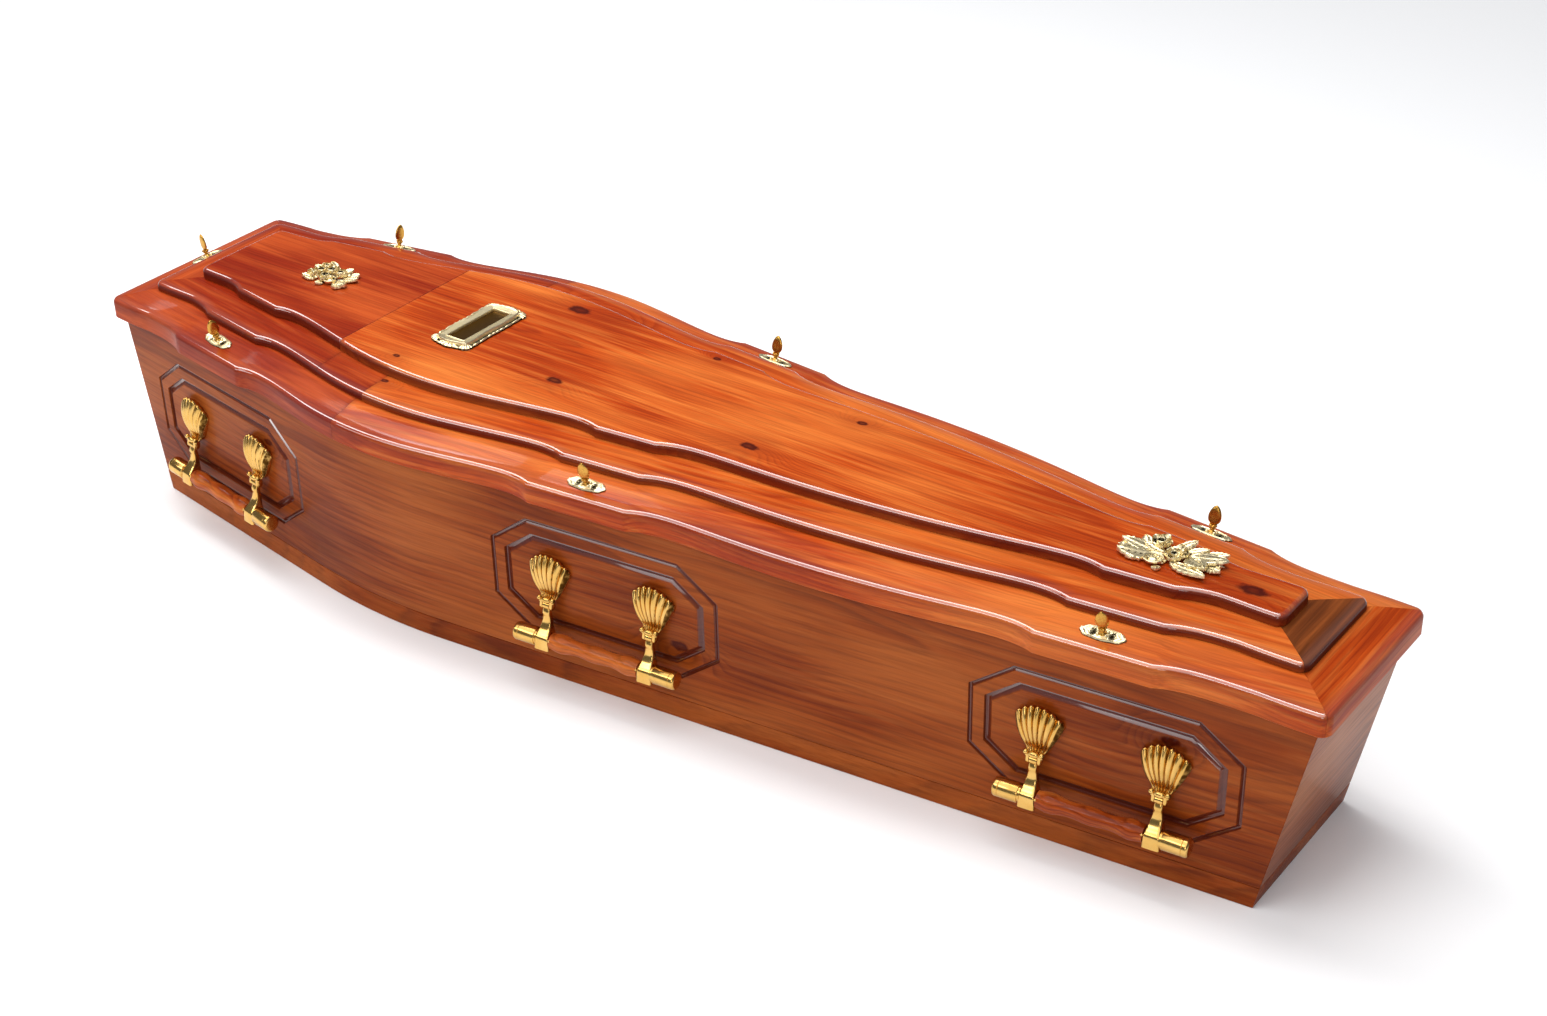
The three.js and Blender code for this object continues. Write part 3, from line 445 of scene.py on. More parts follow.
def copies_tree():
    """Geometry Nodes tree that puts a copy of a pattern piece on every point."""
    known = bpy.data.node_groups.get("Copies on places")
    if known:
        return known
    tree = bpy.data.node_groups.new("Copies on places", "GeometryNodeTree")
    face = tree.interface
    for name, kind in (("Places", "Geometry"), ("Pattern", "Object"), ("Finish", "Material")):
        face.new_socket(name, in_out="INPUT", socket_type="NodeSocket" + kind)
    face.new_socket("Copies", in_out="OUTPUT", socket_type="NodeSocketGeometry")
    given = node(tree, "NodeGroupInput").outputs
    pattern = node(tree, "GeometryNodeObjectInfo",
                   {"Object": given["Pattern"], "As Instance": True})
    turn, stretch = (node(tree, "GeometryNodeInputNamedAttribute", {"Name": name},
                          data_type="FLOAT_VECTOR") for name in ("turn", "stretch"))
    euler = node(tree, "FunctionNodeEulerToRotation", {"Euler": turn.outputs["Attribute"]})
    spread = node(tree, "GeometryNodeInstanceOnPoints", {
        "Points": given["Places"], "Instance": pattern.outputs["Geometry"],
        "Rotation": euler.outputs[0], "Scale": stretch.outputs["Attribute"]})
    solid = node(tree, "GeometryNodeRealizeInstances", {"Geometry": spread.outputs[0]})
    dressed = node(tree, "GeometryNodeSetMaterial",
                   {"Geometry": solid.outputs[0], "Material": given["Finish"]})
    node(tree, "NodeGroupOutput", {"Copies": dressed.outputs[0]})
    return tree


def copies(name, pattern, places, finish, sharp):
    """One plain mesh with a copy of the pattern at each (point, turn, stretch)."""
    cloud = bpy.data.meshes.new(name)
    cloud.from_pydata([point for point, _, _ in places], [], [])
    for title, index in (("turn", 1), ("stretch", 2)):
        layer = cloud.attributes.new(title, "FLOAT_VECTOR", "POINT")
        for item, place in zip(layer.data, places):
            item.vector = place[index]
    made = linked(name, cloud)
    tree = copies_tree()
    values = {"Pattern": pattern, "Finish": finish}
    modifier = made.modifiers.new("Copies", "NODES")
    modifier.node_group = tree
    for socket in tree.interface.items_tree:
        if socket.in_out == "INPUT" and socket.name in values:
            modifier[socket.identifier] = values[socket.name]
    evaluated(made, name)
    for title in ("turn", "stretch"):
        if title in made.data.attributes:
            made.data.attributes.remove(made.data.attributes[title])
    made.data.set_sharp_from_angle(angle=math.radians(sharp))
    discard(pattern)
    return made


# Wood

def figure_tree():
    """Shader group for a sawn board's figure, from the board's own grain coordinates in metres."""
    tree = bpy.data.node_groups.get("Sawn board figure")
    if tree:
        return tree
    tree = bpy.data.node_groups.new("Sawn board figure", "ShaderNodeTree")
    face = tree.interface
    face.new_socket("Grain", in_out="INPUT", socket_type="NodeSocketVector")
    for name in ("Board", "Heart across", "Heart depth", "Rise", "Ring width", "Waver", "Pull"):
        face.new_socket(name, in_out="INPUT", socket_type="NodeSocketFloat")
    for name in ("Ring", "Streak", "Fibre", "Cloud"):
        face.new_socket(name, in_out="OUTPUT", socket_type="NodeSocketFloat")
    given = node(tree, "NodeGroupInput").outputs

    # Cells of each pattern to the metre, along the grain and across it. Streaks are 10 mm wide and
    # 220 mm long. A real fibre is about 0.04 mm wide, too fine to show, so the fibres are drawn
    # coarse, 2.4 mm wide and 90 mm long.
    known = {socket.name: socket for socket in given if socket.name}
    for name, scale, detail, seed in (
            ("Cloud", (2.4, 8, 8), 2, 0), ("Sway", (2.1, 5, 5), 2, 11.3),
            ("Sink", (1.7, 4, 4), 1, 23.9), ("Ragged", (7, 90, 90), 2, 37.7),
            ("Streak", (4.5, 95, 95), 4, 51.1), ("Fibre", (11, 420, 420), 2, 67.3)):
        spread = node(tree, "ShaderNodeVectorMath", {0: given["Grain"], 1: scale},
                      operation="MULTIPLY")
        slice_at = node(tree, "ShaderNodeMath", {0: given["Board"], 1: seed}, operation="ADD")
        known[name] = node(tree, "ShaderNodeTexNoise", {
            "Vector": spread.outputs[0], "W": slice_at.outputs[0], "Scale": 1.0,
            "Detail": detail, "Roughness": 0.55}, noise_dimensions="4D").outputs["Fac"]
    place = node(tree, "ShaderNodeSeparateXYZ", {0: given["Grain"]}).outputs
    known.update(Along=place["X"], Over=place["Y"], Deep=place["Z"])

    # Distance from the wavering heart of the log in ring widths, and its fraction
    for name, operation, *values in (
            ("Sway", "SUBTRACT", "Sway", 0.5), ("Sway", "MULTIPLY", "Sway", "Waver"),
            ("Sink", "SUBTRACT", "Sink", 0.5), ("Sink", "MULTIPLY", "Sink", "Waver"),
            ("Over", "SUBTRACT", "Over", "Heart across"), ("Over", "ADD", "Over", "Sway"),
            ("Rise", "MULTIPLY_ADD", "Along", "Rise", "Heart depth"),
            ("Rise", "ADD", "Rise", "Sink"), ("Deep", "ADD", "Rise", "Deep"),
            ("Over", "MULTIPLY", "Over", "Over"), ("Deep", "MULTIPLY", "Deep", "Deep"),
            ("Away", "ADD", "Over", "Deep"), ("Away", "SQRT", "Away"),
            ("Count", "DIVIDE", "Away", "Ring width"),
            ("Ragged", "MULTIPLY", "Ragged", 0.45), ("Count", "ADD", "Count", "Ragged"),
            ("Drift", "MULTIPLY", "Cloud", 1.6), ("Count", "ADD", "Count", "Drift"),
            ("Count", "ADD", "Count", "Pull"), ("Ring", "FRACT", "Count")):
        known[name] = node(tree, "ShaderNodeMath", {
            i: known[value] if isinstance(value, str) else value
            for i, value in enumerate(values)}, operation=operation).outputs[0]
    node(tree, "NodeGroupOutput", {name: known[name] for name in
                                   ("Ring", "Streak", "Fibre", "Cloud")})
    return tree


def blank_material(name):
    """A new material of that name and its empty node tree."""
    made = bpy.data.materials.new(name)
    made.use_nodes = True
    made.node_tree.nodes.clear()
    return made, made.node_tree


def lacquered(name, base, pale, dark, knots=(), heart=(0.0, 0.03), rise=0.03, ring=0.006,
              waver=0.03, ring_strength=0.6, streak_strength=0.5, flat_coat=0.07):
    """Stained softwood under a thick gloss lacquer: growth rings, pale streaks, fine fibres and
    knots, with painted shade on the roundings' lower parts and in the grooves, along with the stain
    they hold and dark joint lines."""
    known = bpy.data.materials.get(name)
    if known:
        return known
    made, tree = blank_material(name)
    grain = node(tree, "ShaderNodeAttribute", attribute_name="grain").outputs["Vector"]
    board, painted_shade_and_stain, gloss = (node(tree, "ShaderNodeAttribute", attribute_name=title).outputs["Fac"]
                           for title in ("board", "painted_shade_and_stain", "gloss"))

    # Each knot pulls the rings round itself, and has a dark ragged ring with a paler core
    pull, knotted, glow = 0.0, 0.0, 0.0
    flat = node(tree, "ShaderNodeVectorMath", {0: grain, 1: (0.55, 1, 0)}, operation="MULTIPLY")
    ragged = node(tree, "ShaderNodeTexNoise", {"Vector": grain, "Scale": 85.0, "Detail": 3.0})
    uneven = node(tree, "ShaderNodeMath", {0: ragged.outputs["Fac"], 1: 0.5},
                  operation="SUBTRACT").outputs[0]
    for along, over, radius in knots:
        away = node(tree, "ShaderNodeVectorMath", {
            0: flat.outputs[0], 1: (0.55 * along, over, 0)}, operation="DISTANCE").outputs["Value"]
        near = node(tree, "ShaderNodeMapRange", {0: away, 1: 0.0, 2: 6.5 * radius, 3: 1.0, 4: 0.0},
                    interpolation_type="SMOOTHERSTEP").outputs[0]
        edge = node(tree, "ShaderNodeMath", {0: uneven, 1: 0.9 * radius, 2: away},
                    operation="MULTIPLY_ADD").outputs[0]
        outer, core = (node(tree, "ShaderNodeMapRange", {
            0: edge, 1: first * radius, 2: last * radius, 3: share, 4: 0.0}).outputs[0]
            for first, last, share in ((0.7, 1.1, 1.0), (0.1, 0.5, 0.2)))
        dark_ring = node(tree, "ShaderNodeMath", {0: outer, 1: core}, operation="SUBTRACT")
        pull, knotted, glow = (
            node(tree, "ShaderNodeMath", inputs, operation=operation).outputs[0]
            for inputs, operation in (({0: near, 1: 5.0, 2: pull}, "MULTIPLY_ADD"),
                                      ({0: dark_ring.outputs[0], 1: knotted}, "MAXIMUM"),
                                      ({0: near, 1: glow}, "MAXIMUM")))
    rings, streak, fibre, cloud = node(tree, "ShaderNodeGroup", {
        "Grain": grain, "Board": board, "Heart across": heart[0], "Heart depth": heart[1],
        "Rise": rise, "Ring width": ring, "Waver": waver, "Pull": pull},
        node_tree=figure_tree()).outputs

    # Shares from the patterns, as value, the range it is read over and the range that it gives
    light, shade, soft, deep, pores, rough, body = (
        node(tree, "ShaderNodeMapRange", dict(enumerate(span))).outputs[0] for span in (
            (streak, 0.48, 0.66, 0.0, streak_strength), (streak, 0.48, 0.3, 0.0, streak_strength),
            (cloud, 0.45, 0.66, 0.0, 0.6), (cloud, 0.47, 0.3, 0.0, 0.55),
            (fibre, 0.36, 0.56, 0.84, 1.05), (fibre, 0.3, 0.7, 0.42, 0.32),
            (gloss, 0.0, 1.0, flat_coat, 1.0)))
    band = node(tree, "ShaderNodeValToRGB", {0: rings}, stops=(
        (0.0, (0.0, 0.0, 0.0, 1)), (0.45, (0.22, 0.22, 0.22, 1)), (0.84, (1, 1, 1, 1)),
        (1.0, (0.0, 0.0, 0.0, 1)))).outputs["Color"]
    grey = node(tree, "ShaderNodeCombineColor", {0: pores, 1: pores, 2: pores}).outputs[0]
    ringed, shaded, knotty, painted_shade_and_stain_share, fine, coarse = (
        node(tree, "ShaderNodeMath", {0: value, 1: strength}, operation="MULTIPLY").outputs[0]
        for value, strength in ((band, ring_strength), (glow, 0.3), (knotted, 0.95), (painted_shade_and_stain, 0.8),
                                (fibre, 0.5), (rings, 0.3)))
    # The last mix paints shade: the dark colour on the roundings' lower parts and in the grooves,
    # with the stain held there and dark joint lines
    wood = base
    for share, second, how in (
            (ringed, dark, "MIX"), (light, pale, "MIX"), (shade, dark, "MIX"),
            (soft, pale, "MIX"), (deep, dark, "MIX"), (1.0, grey, "MULTIPLY"),
            (shaded, dark, "MIX"), (knotty, linear("#420E06"), "MIX"),
            (painted_shade_and_stain_share, linear("#4E1610"), "MIX")):
        wood = node(tree, "ShaderNodeMix", {0: share, 6: wood, 7: second}, data_type="RGBA",
                    blend_type=how).outputs[2]

    # The wood's own fine relief, and the slow flow of the lacquer over it
    height = node(tree, "ShaderNodeMath", {0: fine, 1: coarse}, operation="ADD").outputs[0]
    bump = node(tree, "ShaderNodeBump", {"Strength": 0.1, "Distance": 0.0003, "Height": height})
    slow = node(tree, "ShaderNodeVectorMath", {0: grain, 1: (9, 26, 26)}, operation="MULTIPLY")
    flow = node(tree, "ShaderNodeTexNoise", {
        "Vector": slow.outputs[0], "Scale": 1.0, "Detail": 1.0})
    film = node(tree, "ShaderNodeBump", {
        "Strength": 0.25, "Distance": 0.0012, "Height": flow.outputs["Fac"]})
    surface = node(tree, "ShaderNodeBsdfPrincipled", {
        "Base Color": wood, "Roughness": rough, "IOR": 1.45, "Specular IOR Level": 0.06,
        "Coat Weight": body, "Coat Roughness": 0.06, "Coat IOR": 2.1,
        "Normal": bump.outputs[0], "Coat Normal": film.outputs[0]})
    node(tree, "ShaderNodeOutputMaterial", {"Surface": surface.outputs[0]})
    return made


def side_wood(colours):
    # Brown-stained pine, planed and lacquered: broad looping figure under a clear gloss film.
    return lacquered("lacquered_pine_sides", colours.side_wood, linear("#AE5E28"),
                     linear("#561E08"), knots=((0.118, 0.118, 0.008), (-0.62, 0.20, 0.006),
                                               (0.80, 0.205, 0.007)),
                     heart=(0.235, 0.018), rise=0.045, ring=0.0105, waver=0.085,
                     ring_strength=0.62, streak_strength=0.38, flat_coat=0.03)


def lid_wood(colours):
    # Orange-stained pine, planed and lacquered: straight pale streaks and a few round knots.
    return lacquered("lacquered_pine_lid", colours.lid_wood, linear("#DA7A34"), linear("#7C1F04"),
                     knots=((-0.311, 0.124, 0.011), (-0.201, -0.062, 0.008),
                            (0.131, -0.060, 0.008), (0.218, 0.073, 0.005),
                            (-0.053, 0.113, 0.004), (0.514, 0.084, 0.008),
                            (0.827, -0.005, 0.011), (-0.434, -0.129, 0.004)),
                     heart=(0.03, 0.03), rise=0.014, ring=0.0052, waver=0.045,
                     ring_strength=0.5, streak_strength=0.55)


def head_wood(colours):
    # The same pine stained redder towards the head.
    return lacquered("lacquered_pine_head", colours.head_wood, linear("#C45824"),
                     linear("#761805"), heart=(-0.05, 0.03), rise=0.02, ring=0.0052,
                     waver=0.04, ring_strength=0.5, streak_strength=0.45)


def end_pine_painted_reflection():
    # The sides' pine under the same lacquer, its base made paler and greyer for the end boards:
    # painted reflection of the pale floor on their faces.
    return lacquered("lacquered_pine_ends_painted_reflection", linear("#9E5630"), linear("#B6744A"),
                     linear("#50241A"), heart=(0.15, 0.04), rise=0.05, ring=0.008,
                     waver=0.05, ring_strength=0.5, streak_strength=0.4, flat_coat=0.03)


def walnut_wood(colours):
    # Walnut-brown rail with its fibres across the lid.
    return lacquered("lacquered_walnut_rail", colours.walnut, linear("#8E4A20"),
                     linear("#220B04"), heart=(0.10, 0.015), rise=0.3, ring=0.012,
                     waver=0.16, ring_strength=0.85, streak_strength=0.7, flat_coat=0.035)


def grip_wood():
    # Turned hardwood grip, stained with the sides and dipped in the same lacquer.
    return lacquered("turned_lacquered_grip", linear("#AC4A16"), linear("#D87E38"),
                     linear("#641E06"), heart=(0.0, 0.02), rise=0.06, ring=0.004,
                     waver=0.012, ring_strength=0.7, streak_strength=0.6, flat_coat=0.09)


def dress_wood(made, grain, board, painted_shade_and_stain=None, gloss=None):
    """Gives a wooden piece its grain coordinates, its board number, its painted shade and stain, and
    its gloss.
    """
    paint(made.data, "grain", "FLOAT_VECTOR", grain)
    paint(made.data, "board", "FLOAT", lambda p: board * 3.17)
    paint(made.data, "painted_shade_and_stain", "FLOAT", painted_shade_and_stain or (lambda p: 0.0))
    paint(made.data, "gloss", "FLOAT", gloss or painted_shade_and_stain or (lambda p: 0.0))


# Metal

def brass(name, bright, patina_and_shade, tint, rough, grit, grit_height):
    """Cast brass: polished on the high places, with dark lacquered patina left in the hollows, and
    the same dark colour as painted shade in the nameplate rim's channel.

    Grit is in grains to the metre. A real casting's grain is about 0.2 mm, too fine to show, so
    it is drawn coarse: 1.1 to 1.7 mm on the castings. The polished pieces have 6 mm dimples left.
    """
    known = bpy.data.materials.get(name)
    if known:
        return known
    made, tree = blank_material(name)
    spot = node(tree, "ShaderNodeTexCoord").outputs["Object"]
    hollow = node(tree, "ShaderNodeAttribute", attribute_name="hollow").outputs["Fac"]
    cast = node(tree, "ShaderNodeTexNoise", {"Vector": spot, "Scale": grit, "Detail": 3.0})
    haze = node(tree, "ShaderNodeTexNoise", {"Vector": spot, "Scale": 45.0, "Detail": 2.0})
    ragged = node(tree, "ShaderNodeMath", {0: cast.outputs["Fac"], 1: 0.5}, operation="SUBTRACT")
    wander = node(tree, "ShaderNodeMath", {0: ragged.outputs[0], 1: 0.9, 2: hollow},
                  operation="MULTIPLY_ADD")
    deep = node(tree, "ShaderNodeMapRange", {
        0: wander.outputs[0], 1: 0.38, 2: 0.78, 3: 0.0, 4: 1.0},
        interpolation_type="SMOOTHSTEP").outputs[0]
    tone = node(tree, "ShaderNodeMix", {0: haze.outputs["Fac"], 6: bright, 7: tint},
                data_type="RGBA")
    patina_and_shade_tone = node(tree, "ShaderNodeMix", {0: deep, 6: tone.outputs[2], 7: patina_and_shade},
                  data_type="RGBA")
    dull = node(tree, "ShaderNodeMapRange", {0: deep, 1: 0.0, 2: 1.0, 3: rough, 4: 0.6}).outputs[0]
    smear = node(tree, "ShaderNodeMath", {0: haze.outputs["Fac"], 1: 0.08, 2: dull},
                 operation="MULTIPLY_ADD")
    bump = node(tree, "ShaderNodeBump", {
        "Strength": 0.5, "Distance": grit_height, "Height": cast.outputs["Fac"]})
    surface = node(tree, "ShaderNodeBsdfPrincipled", {
        "Base Color": patina_and_shade_tone.outputs[2], "Metallic": 1.0, "Roughness": smear.outputs[0],
        "Normal": bump.outputs[0]})
    node(tree, "ShaderNodeOutputMaterial", {"Surface": surface.outputs[0]})
    return made


def handle_brass(colours):
    # Cast brass, machine polished and lacquered: deep gold mirror with slightly soft highlights.
    return brass("polished_gold_brass", colours.brass, linear("#5A3A10"), linear("#CC9A44"),
                 0.15, 160.0, 0.00005)


def cast_brass(colours):
    # Pale cast brass, relief brushed bright and its hollows left dark; its dark colour also paints
    # shade in the nameplate rim's channel.
    return brass("brushed_pale_brass_casting", colours.cast_brass, linear("#1E1608"),
                 linear("#E8D6A0"), 0.36, 620.0, 0.00022)


def floor_brass():
    # Sunk nameplate floor: dark gold lacquer over fine casting grain, left bare.
    return brass("dark_gold_plate_floor", linear("#7A5310"), linear("#3A2606"), linear("#5A3C0C"),
                 0.30, 900.0, 0.00012)


def leaf_brass():
    # Screw heads in warmer cast brass with brown patina.
    return brass("warm_brass_casting", linear("#D6A650"), linear("#4A2E0C"), linear("#B88438"),
                 0.22, 600.0, 0.0002)


def hollow_by(made, value):
    """Gives a casting its share of the dark colour at each vertex: patina in its hollows, and painted
    shade in the nameplate rim's channel.
    """
    paint(made.data, "hollow", "FLOAT", value)


# Box

def octagon(fittings, inset):
    """Corners of a routed panel's outline moved in by an inset, as (along, up) pairs."""
    long_cut, high_cut = 0.060, 0.045
    long = fittings.panel_length / 2 - inset
    high = fittings.panel_height / 2 - inset
    diagonal = math.hypot(long_cut, high_cut)
    cut_x = long_cut - inset * (1 + (long_cut - diagonal) / high_cut)
    cut_z = high_cut - inset * (1 + (high_cut - diagonal) / long_cut)
    a, b = (long, high - cut_z), (long - cut_x, high)
    return [a, b, (-b[0], b[1]), (-a[0], a[1]), (-a[0], -a[1]), (-b[0], -b[1]), (b[0], -b[1]),
            (a[0], -a[1])]


# Sections of the routed grooves in millimetres: distance in from the outline, and depth
OUTER_GROOVE = ((0, 0), (0.5, 2.0), (1.4, 3.4), (2.8, 4.0), (4.2, 3.5), (5.8, 1.7), (7, 0))
INNER_GROOVE = ((0, 0), (0.4, 2.8), (1.1, 4.5), (2.2, 5.0), (4.4, 5.0), (5.6, 4.5), (7.4, 3.0),
                (9.4, 1.2), (11, 0))


def groove_cutter(fittings, start, profile, place):
    """A ring whose section is the groove, closed above the wood's face."""
    loop = mm(*profile, (profile[-1][0], -2), (0, -2))
    rings = [octagon(fittings, start + s) for s, _ in loop]
    bm = bmesh.new()
    rows = [[Vector((rings[i][c][0], loop[i][1], fittings.panel_centre + rings[i][c][1]))
             for i in range(len(loop))] for c in range(8)]
    skin(bm, rows + rows[:1], caps=False)
    bmesh.ops.remove_doubles(bm, verts=bm.verts, dist=0.001 * MM)
    bmesh.ops.recalc_face_normals(bm, faces=bm.faces)
    mesh = bpy.data.meshes.new("groove cutter")
    bm.to_mesh(mesh)
    bm.free()
    mesh.transform(place)
    return linked("groove cutter", mesh)


def board_section(s):
    """Section of an upright board as (inset, height) pairs, and its lean along the length."""
    low, high = s.base_thickness + GAP, s.box_height
    corners = [(0, low + SOFT), (0.3 * SOFT, low + 0.3 * SOFT), (SOFT, low), (s.board, low),
               (s.board, high), (0, high)]
    return corners, math.hypot(1, s.end_slope / s.box_height)


def cross_faces(bm, rings):
    """Closes a solid over its first and last ring, with faces from the right side to the left."""
    for ring in rings[0], rings[-1]:
        for i in range(len(ring) // 2 - 1):
            bm.faces.new((ring[i], ring[i + 1], ring[-2 - i], ring[-1 - i]))


def side_board(outline, fittings, name, sign, finish):
    """A long side, bent at the shoulder, its foot edge eased, with three routed panels."""
    s = outline.s
    corners, lean = board_section(s)
    shares = [i / 16 * 2 - 1 for i in range(17)]
    rows = []
    count = len(shares) + 2
    for i in range(count):
        row = []
        for inset, z in corners:
            end = outline.box_end(z) - inset * lean
            if i == 0:
                x = -end
            elif i == count - 1:
                x = end
            else:
                x = outline.shoulder_x + shares[i - 1] * s.shoulder_bend
            y = sign * outline.half_width(x, s.overhang + inset)
            shift = MITRE_GAP if i == 0 else -MITRE_GAP if i == count - 1 else 0
            row.append(Vector((x + shift, y, z)))
        rows.append(row)
    bm = bmesh.new()
    skin(bm, rows)
    made = to_object(name, bm, finish)
    cutters = []
    for x in outline.handles:
        place = outline.side_place(x, sign)
        cutters.append(groove_cutter(fittings, 0.0, OUTER_GROOVE, place))
        cutters.append(groove_cutter(fittings, 0.022, INNER_GROOVE, place))
    for cutter in cutters:
        carve = made.modifiers.new("Groove", "BOOLEAN")
        carve.operation = "DIFFERENCE"
        carve.solver = "EXACT"
        carve.object = cutter
    evaluated(made, name)
    discard(*cutters)
    made.data.materials.clear()
    made.data.materials.append(finish)
    made.data.polygons.foreach_set("use_smooth", [True] * len(made.data.polygons))
    made.data.set_sharp_from_angle(angle=math.radians(24))

    def depth(p):
        return outline.half_width(p.x, s.overhang) - abs(p.y)

    # Painted shade in the grooves, with the stain they hold: dark from the groove's edge to 1.5 mm
    # deep
    def painted_shade_and_stain_share(p):
        inside = clamp(depth(p) / (1.5 * MM))
        return inside if depth(p) < 6 * MM else 0.0

    # The upper grooves hold the most lacquer
    upper = fittings.panel_centre + fittings.panel_height / 2 - 40 * MM
    dress_wood(made, lambda p: (p.x, p.z, depth(p)), 1 if sign < 0 else 2, painted_shade_and_stain_share,
               lambda p: painted_shade_and_stain_share(p) * (1.0 if p.z > upper else 0.3))
    return made


def end_board(outline, name, end_sign, finish):
    """A sloping end board, mitred to both sides."""
    s = outline.s
    corners, lean = board_section(s)

    def section(sign, share):
        row = []
        for inset, z in corners:
            x = end_sign * (outline.box_end(z) - inset * lean)
            y = sign * share * (outline.half_width(x, s.overhang + inset) - MITRE_GAP)
            row.append(Vector((x, y, z)))
        return row

    bm = bmesh.new()
    skin(bm, [section(-1, 1), section(-1, 0.5), section(1, 0), section(1, 0.5), section(1, 1)])
    made = to_object(name, bm, finish)
    dress_wood(made, lambda p: (p.y, p.z, outline.box_end(p.z) - abs(p.x)), 3 + end_sign)
    return made


def base_board(outline, finish):
    """The flat base, its upper edge eased so that the seam under the sides shows."""
    s = outline.s
    levels = [(0.8 * MM, 0.0), (0.0, 0.8 * MM), (0.0, s.base_thickness - SOFT),
              (0.3 * SOFT, s.base_thickness - 0.3 * SOFT), (SOFT, s.base_thickness)]
    rings = []
    for inset, z in levels:
        end = outline.box_end(z) - inset
        bend = [outline.shoulder_x + (i / 8 - 1) * s.shoulder_bend for i in range(17)]
        right, left = ([Vector((x, sign * outline.half_width(x, s.overhang + inset), z))
                        for x in (-end, *bend, end)] for sign in (-1, 1))
        rings.append(right + left[::-1])
    bm = bmesh.new()
    cross_faces(bm, skin(bm, rings, caps=False))
    board = to_object("base_board_planed", bm, finish)
    dress_wood(board, lambda p: (p.x, p.y, p.z), 7)
    return board


# Lid

# How far the joints in the three tiers lie from the shoulder towards the head
FRAME_JOINT, STEP_JOINTS, TOP_JOINT = 0.036, (0.130, 0.024), 0.135
ARC_TOP = 12  # the rounding's upper end among a rail's profile points


def quarter(outer, top, r):
    """Rounded upper edge as (inset, height) pairs, from its foot to its top."""
    turns = [math.radians(a) for a in range(0, 91, 10)]
    return [(outer + r * (1 - math.cos(a)), top - r + r * math.sin(a)) for a in turns]


def rail_profile(s, outer, bottom, edge_top, top):
    """Section of a rail as (inset, height) pairs, up the rounded outer edge and over the tread."""
    r = s.edge_round
    tread = outer + s.step_inset - 4 * MM
    slope = [(outer + r + (tread - outer - r) * i / 4, edge_top + (top - edge_top) * i / 4)
             for i in range(1, 5)]
    inner = outer + s.step_inset + s.rail_lap
    return [(outer + 1 * MM, bottom), (outer, bottom + 1 * MM),
            (outer, (bottom + edge_top - r) / 2), *quarter(outer, edge_top, r), *slope,
            (inner, top), (inner, bottom)]


def painted_edge_shade(edge_top, radius, foot, most=1.0):
    """Painted shade of a rounded edge, with the stain it holds: dark on the rounding's lower part,
    fading down the edge.
    """
    def value(p):
        drop = edge_top - p.z
        if drop < 0.12 * radius:
            return 0.0
        if drop < radius:
            return most * min(1.0, (drop - 0.12 * radius) / (0.45 * radius))
        return most * max(0.0, 1 - (drop - radius) / foot)
    return value


def rounded_gloss(edge_top, radius):
    """Thick lacquer on a rounded edge, thinning down its lower half."""
    def value(p):
        drop = (edge_top - p.z) / radius
        if drop < -0.01:
            return 0.0
        return clamp(1 - 4 * (drop - 0.4))
    return value


def rail_grain(outline, sign, x):
    """Grain coordinates along a long rail, turned to the rail's own direction."""
    slope = (outline.half_width(x + 0.01, 0) - outline.half_width(x - 0.01, 0)) / 0.02
    turn = Matrix.Rotation(-sign * math.atan(slope), 3, "Z")
    return lambda p: turn @ p


def side_rail(outline, profile, outer, joints, first, last, sign, name, finish, board, painted_shade_and_stain):
    """A rail along a long side; its ends are mitred at a corner or eased at a joint."""
    keys = outline.keys(outer, outer, joints)
    final = len(keys) - 1
    wavy_to = outer + outline.s.top_inset - outline.s.step_inset
    rows = [outline.long_row(inset, outer, z, joints, first, last, sign, inset <= wavy_to)
            for inset, z in profile]
    for row in rows:
        row[0].x += MITRE_GAP if first == 0 else GAP / 2
        row[-1].x -= MITRE_GAP if last == final else GAP / 2
    bm = bmesh.new()
    skin(bm, list(zip(*rows)))
    made = to_object(name, bm, finish)
    middle = (keys[first] + keys[last]) / 2
    edges = [keys[k] for k in (first, last) if 0 < k < final]

    # Painted shade on the rounded edge, with the stain it holds, and a dark line at a joint
    def painted_shade_and_stain_share(p):
        near = min((abs(p.x - x) for x in edges), default=1.0)
        return max(painted_shade_and_stain(p), 0.35 if near < 0.3 * MM else 0.0)

    dress_wood(made, rail_grain(outline, sign, middle), board, painted_shade_and_stain_share,
               rounded_gloss(profile[ARC_TOP][1], outline.s.edge_round))
    return made


def end_rail(outline, profile, outer, end_sign, name, finish, board, painted_shade_and_stain):
    """A rail across the head or the foot, mitred at both corners."""
    rows = [outline.end_row(inset, outer, z, end_sign) for inset, z in profile]
    for row in rows:
        row[0].y += MITRE_GAP
        row[-1].y -= MITRE_GAP
    bm = bmesh.new()
    skin(bm, list(zip(*rows)))
    made = to_object(name, bm, finish)
    dress_wood(made, lambda p: (p.y, p.x, p.z), board, painted_shade_and_stain,
               rounded_gloss(profile[ARC_TOP][1], outline.s.edge_round))
    return made


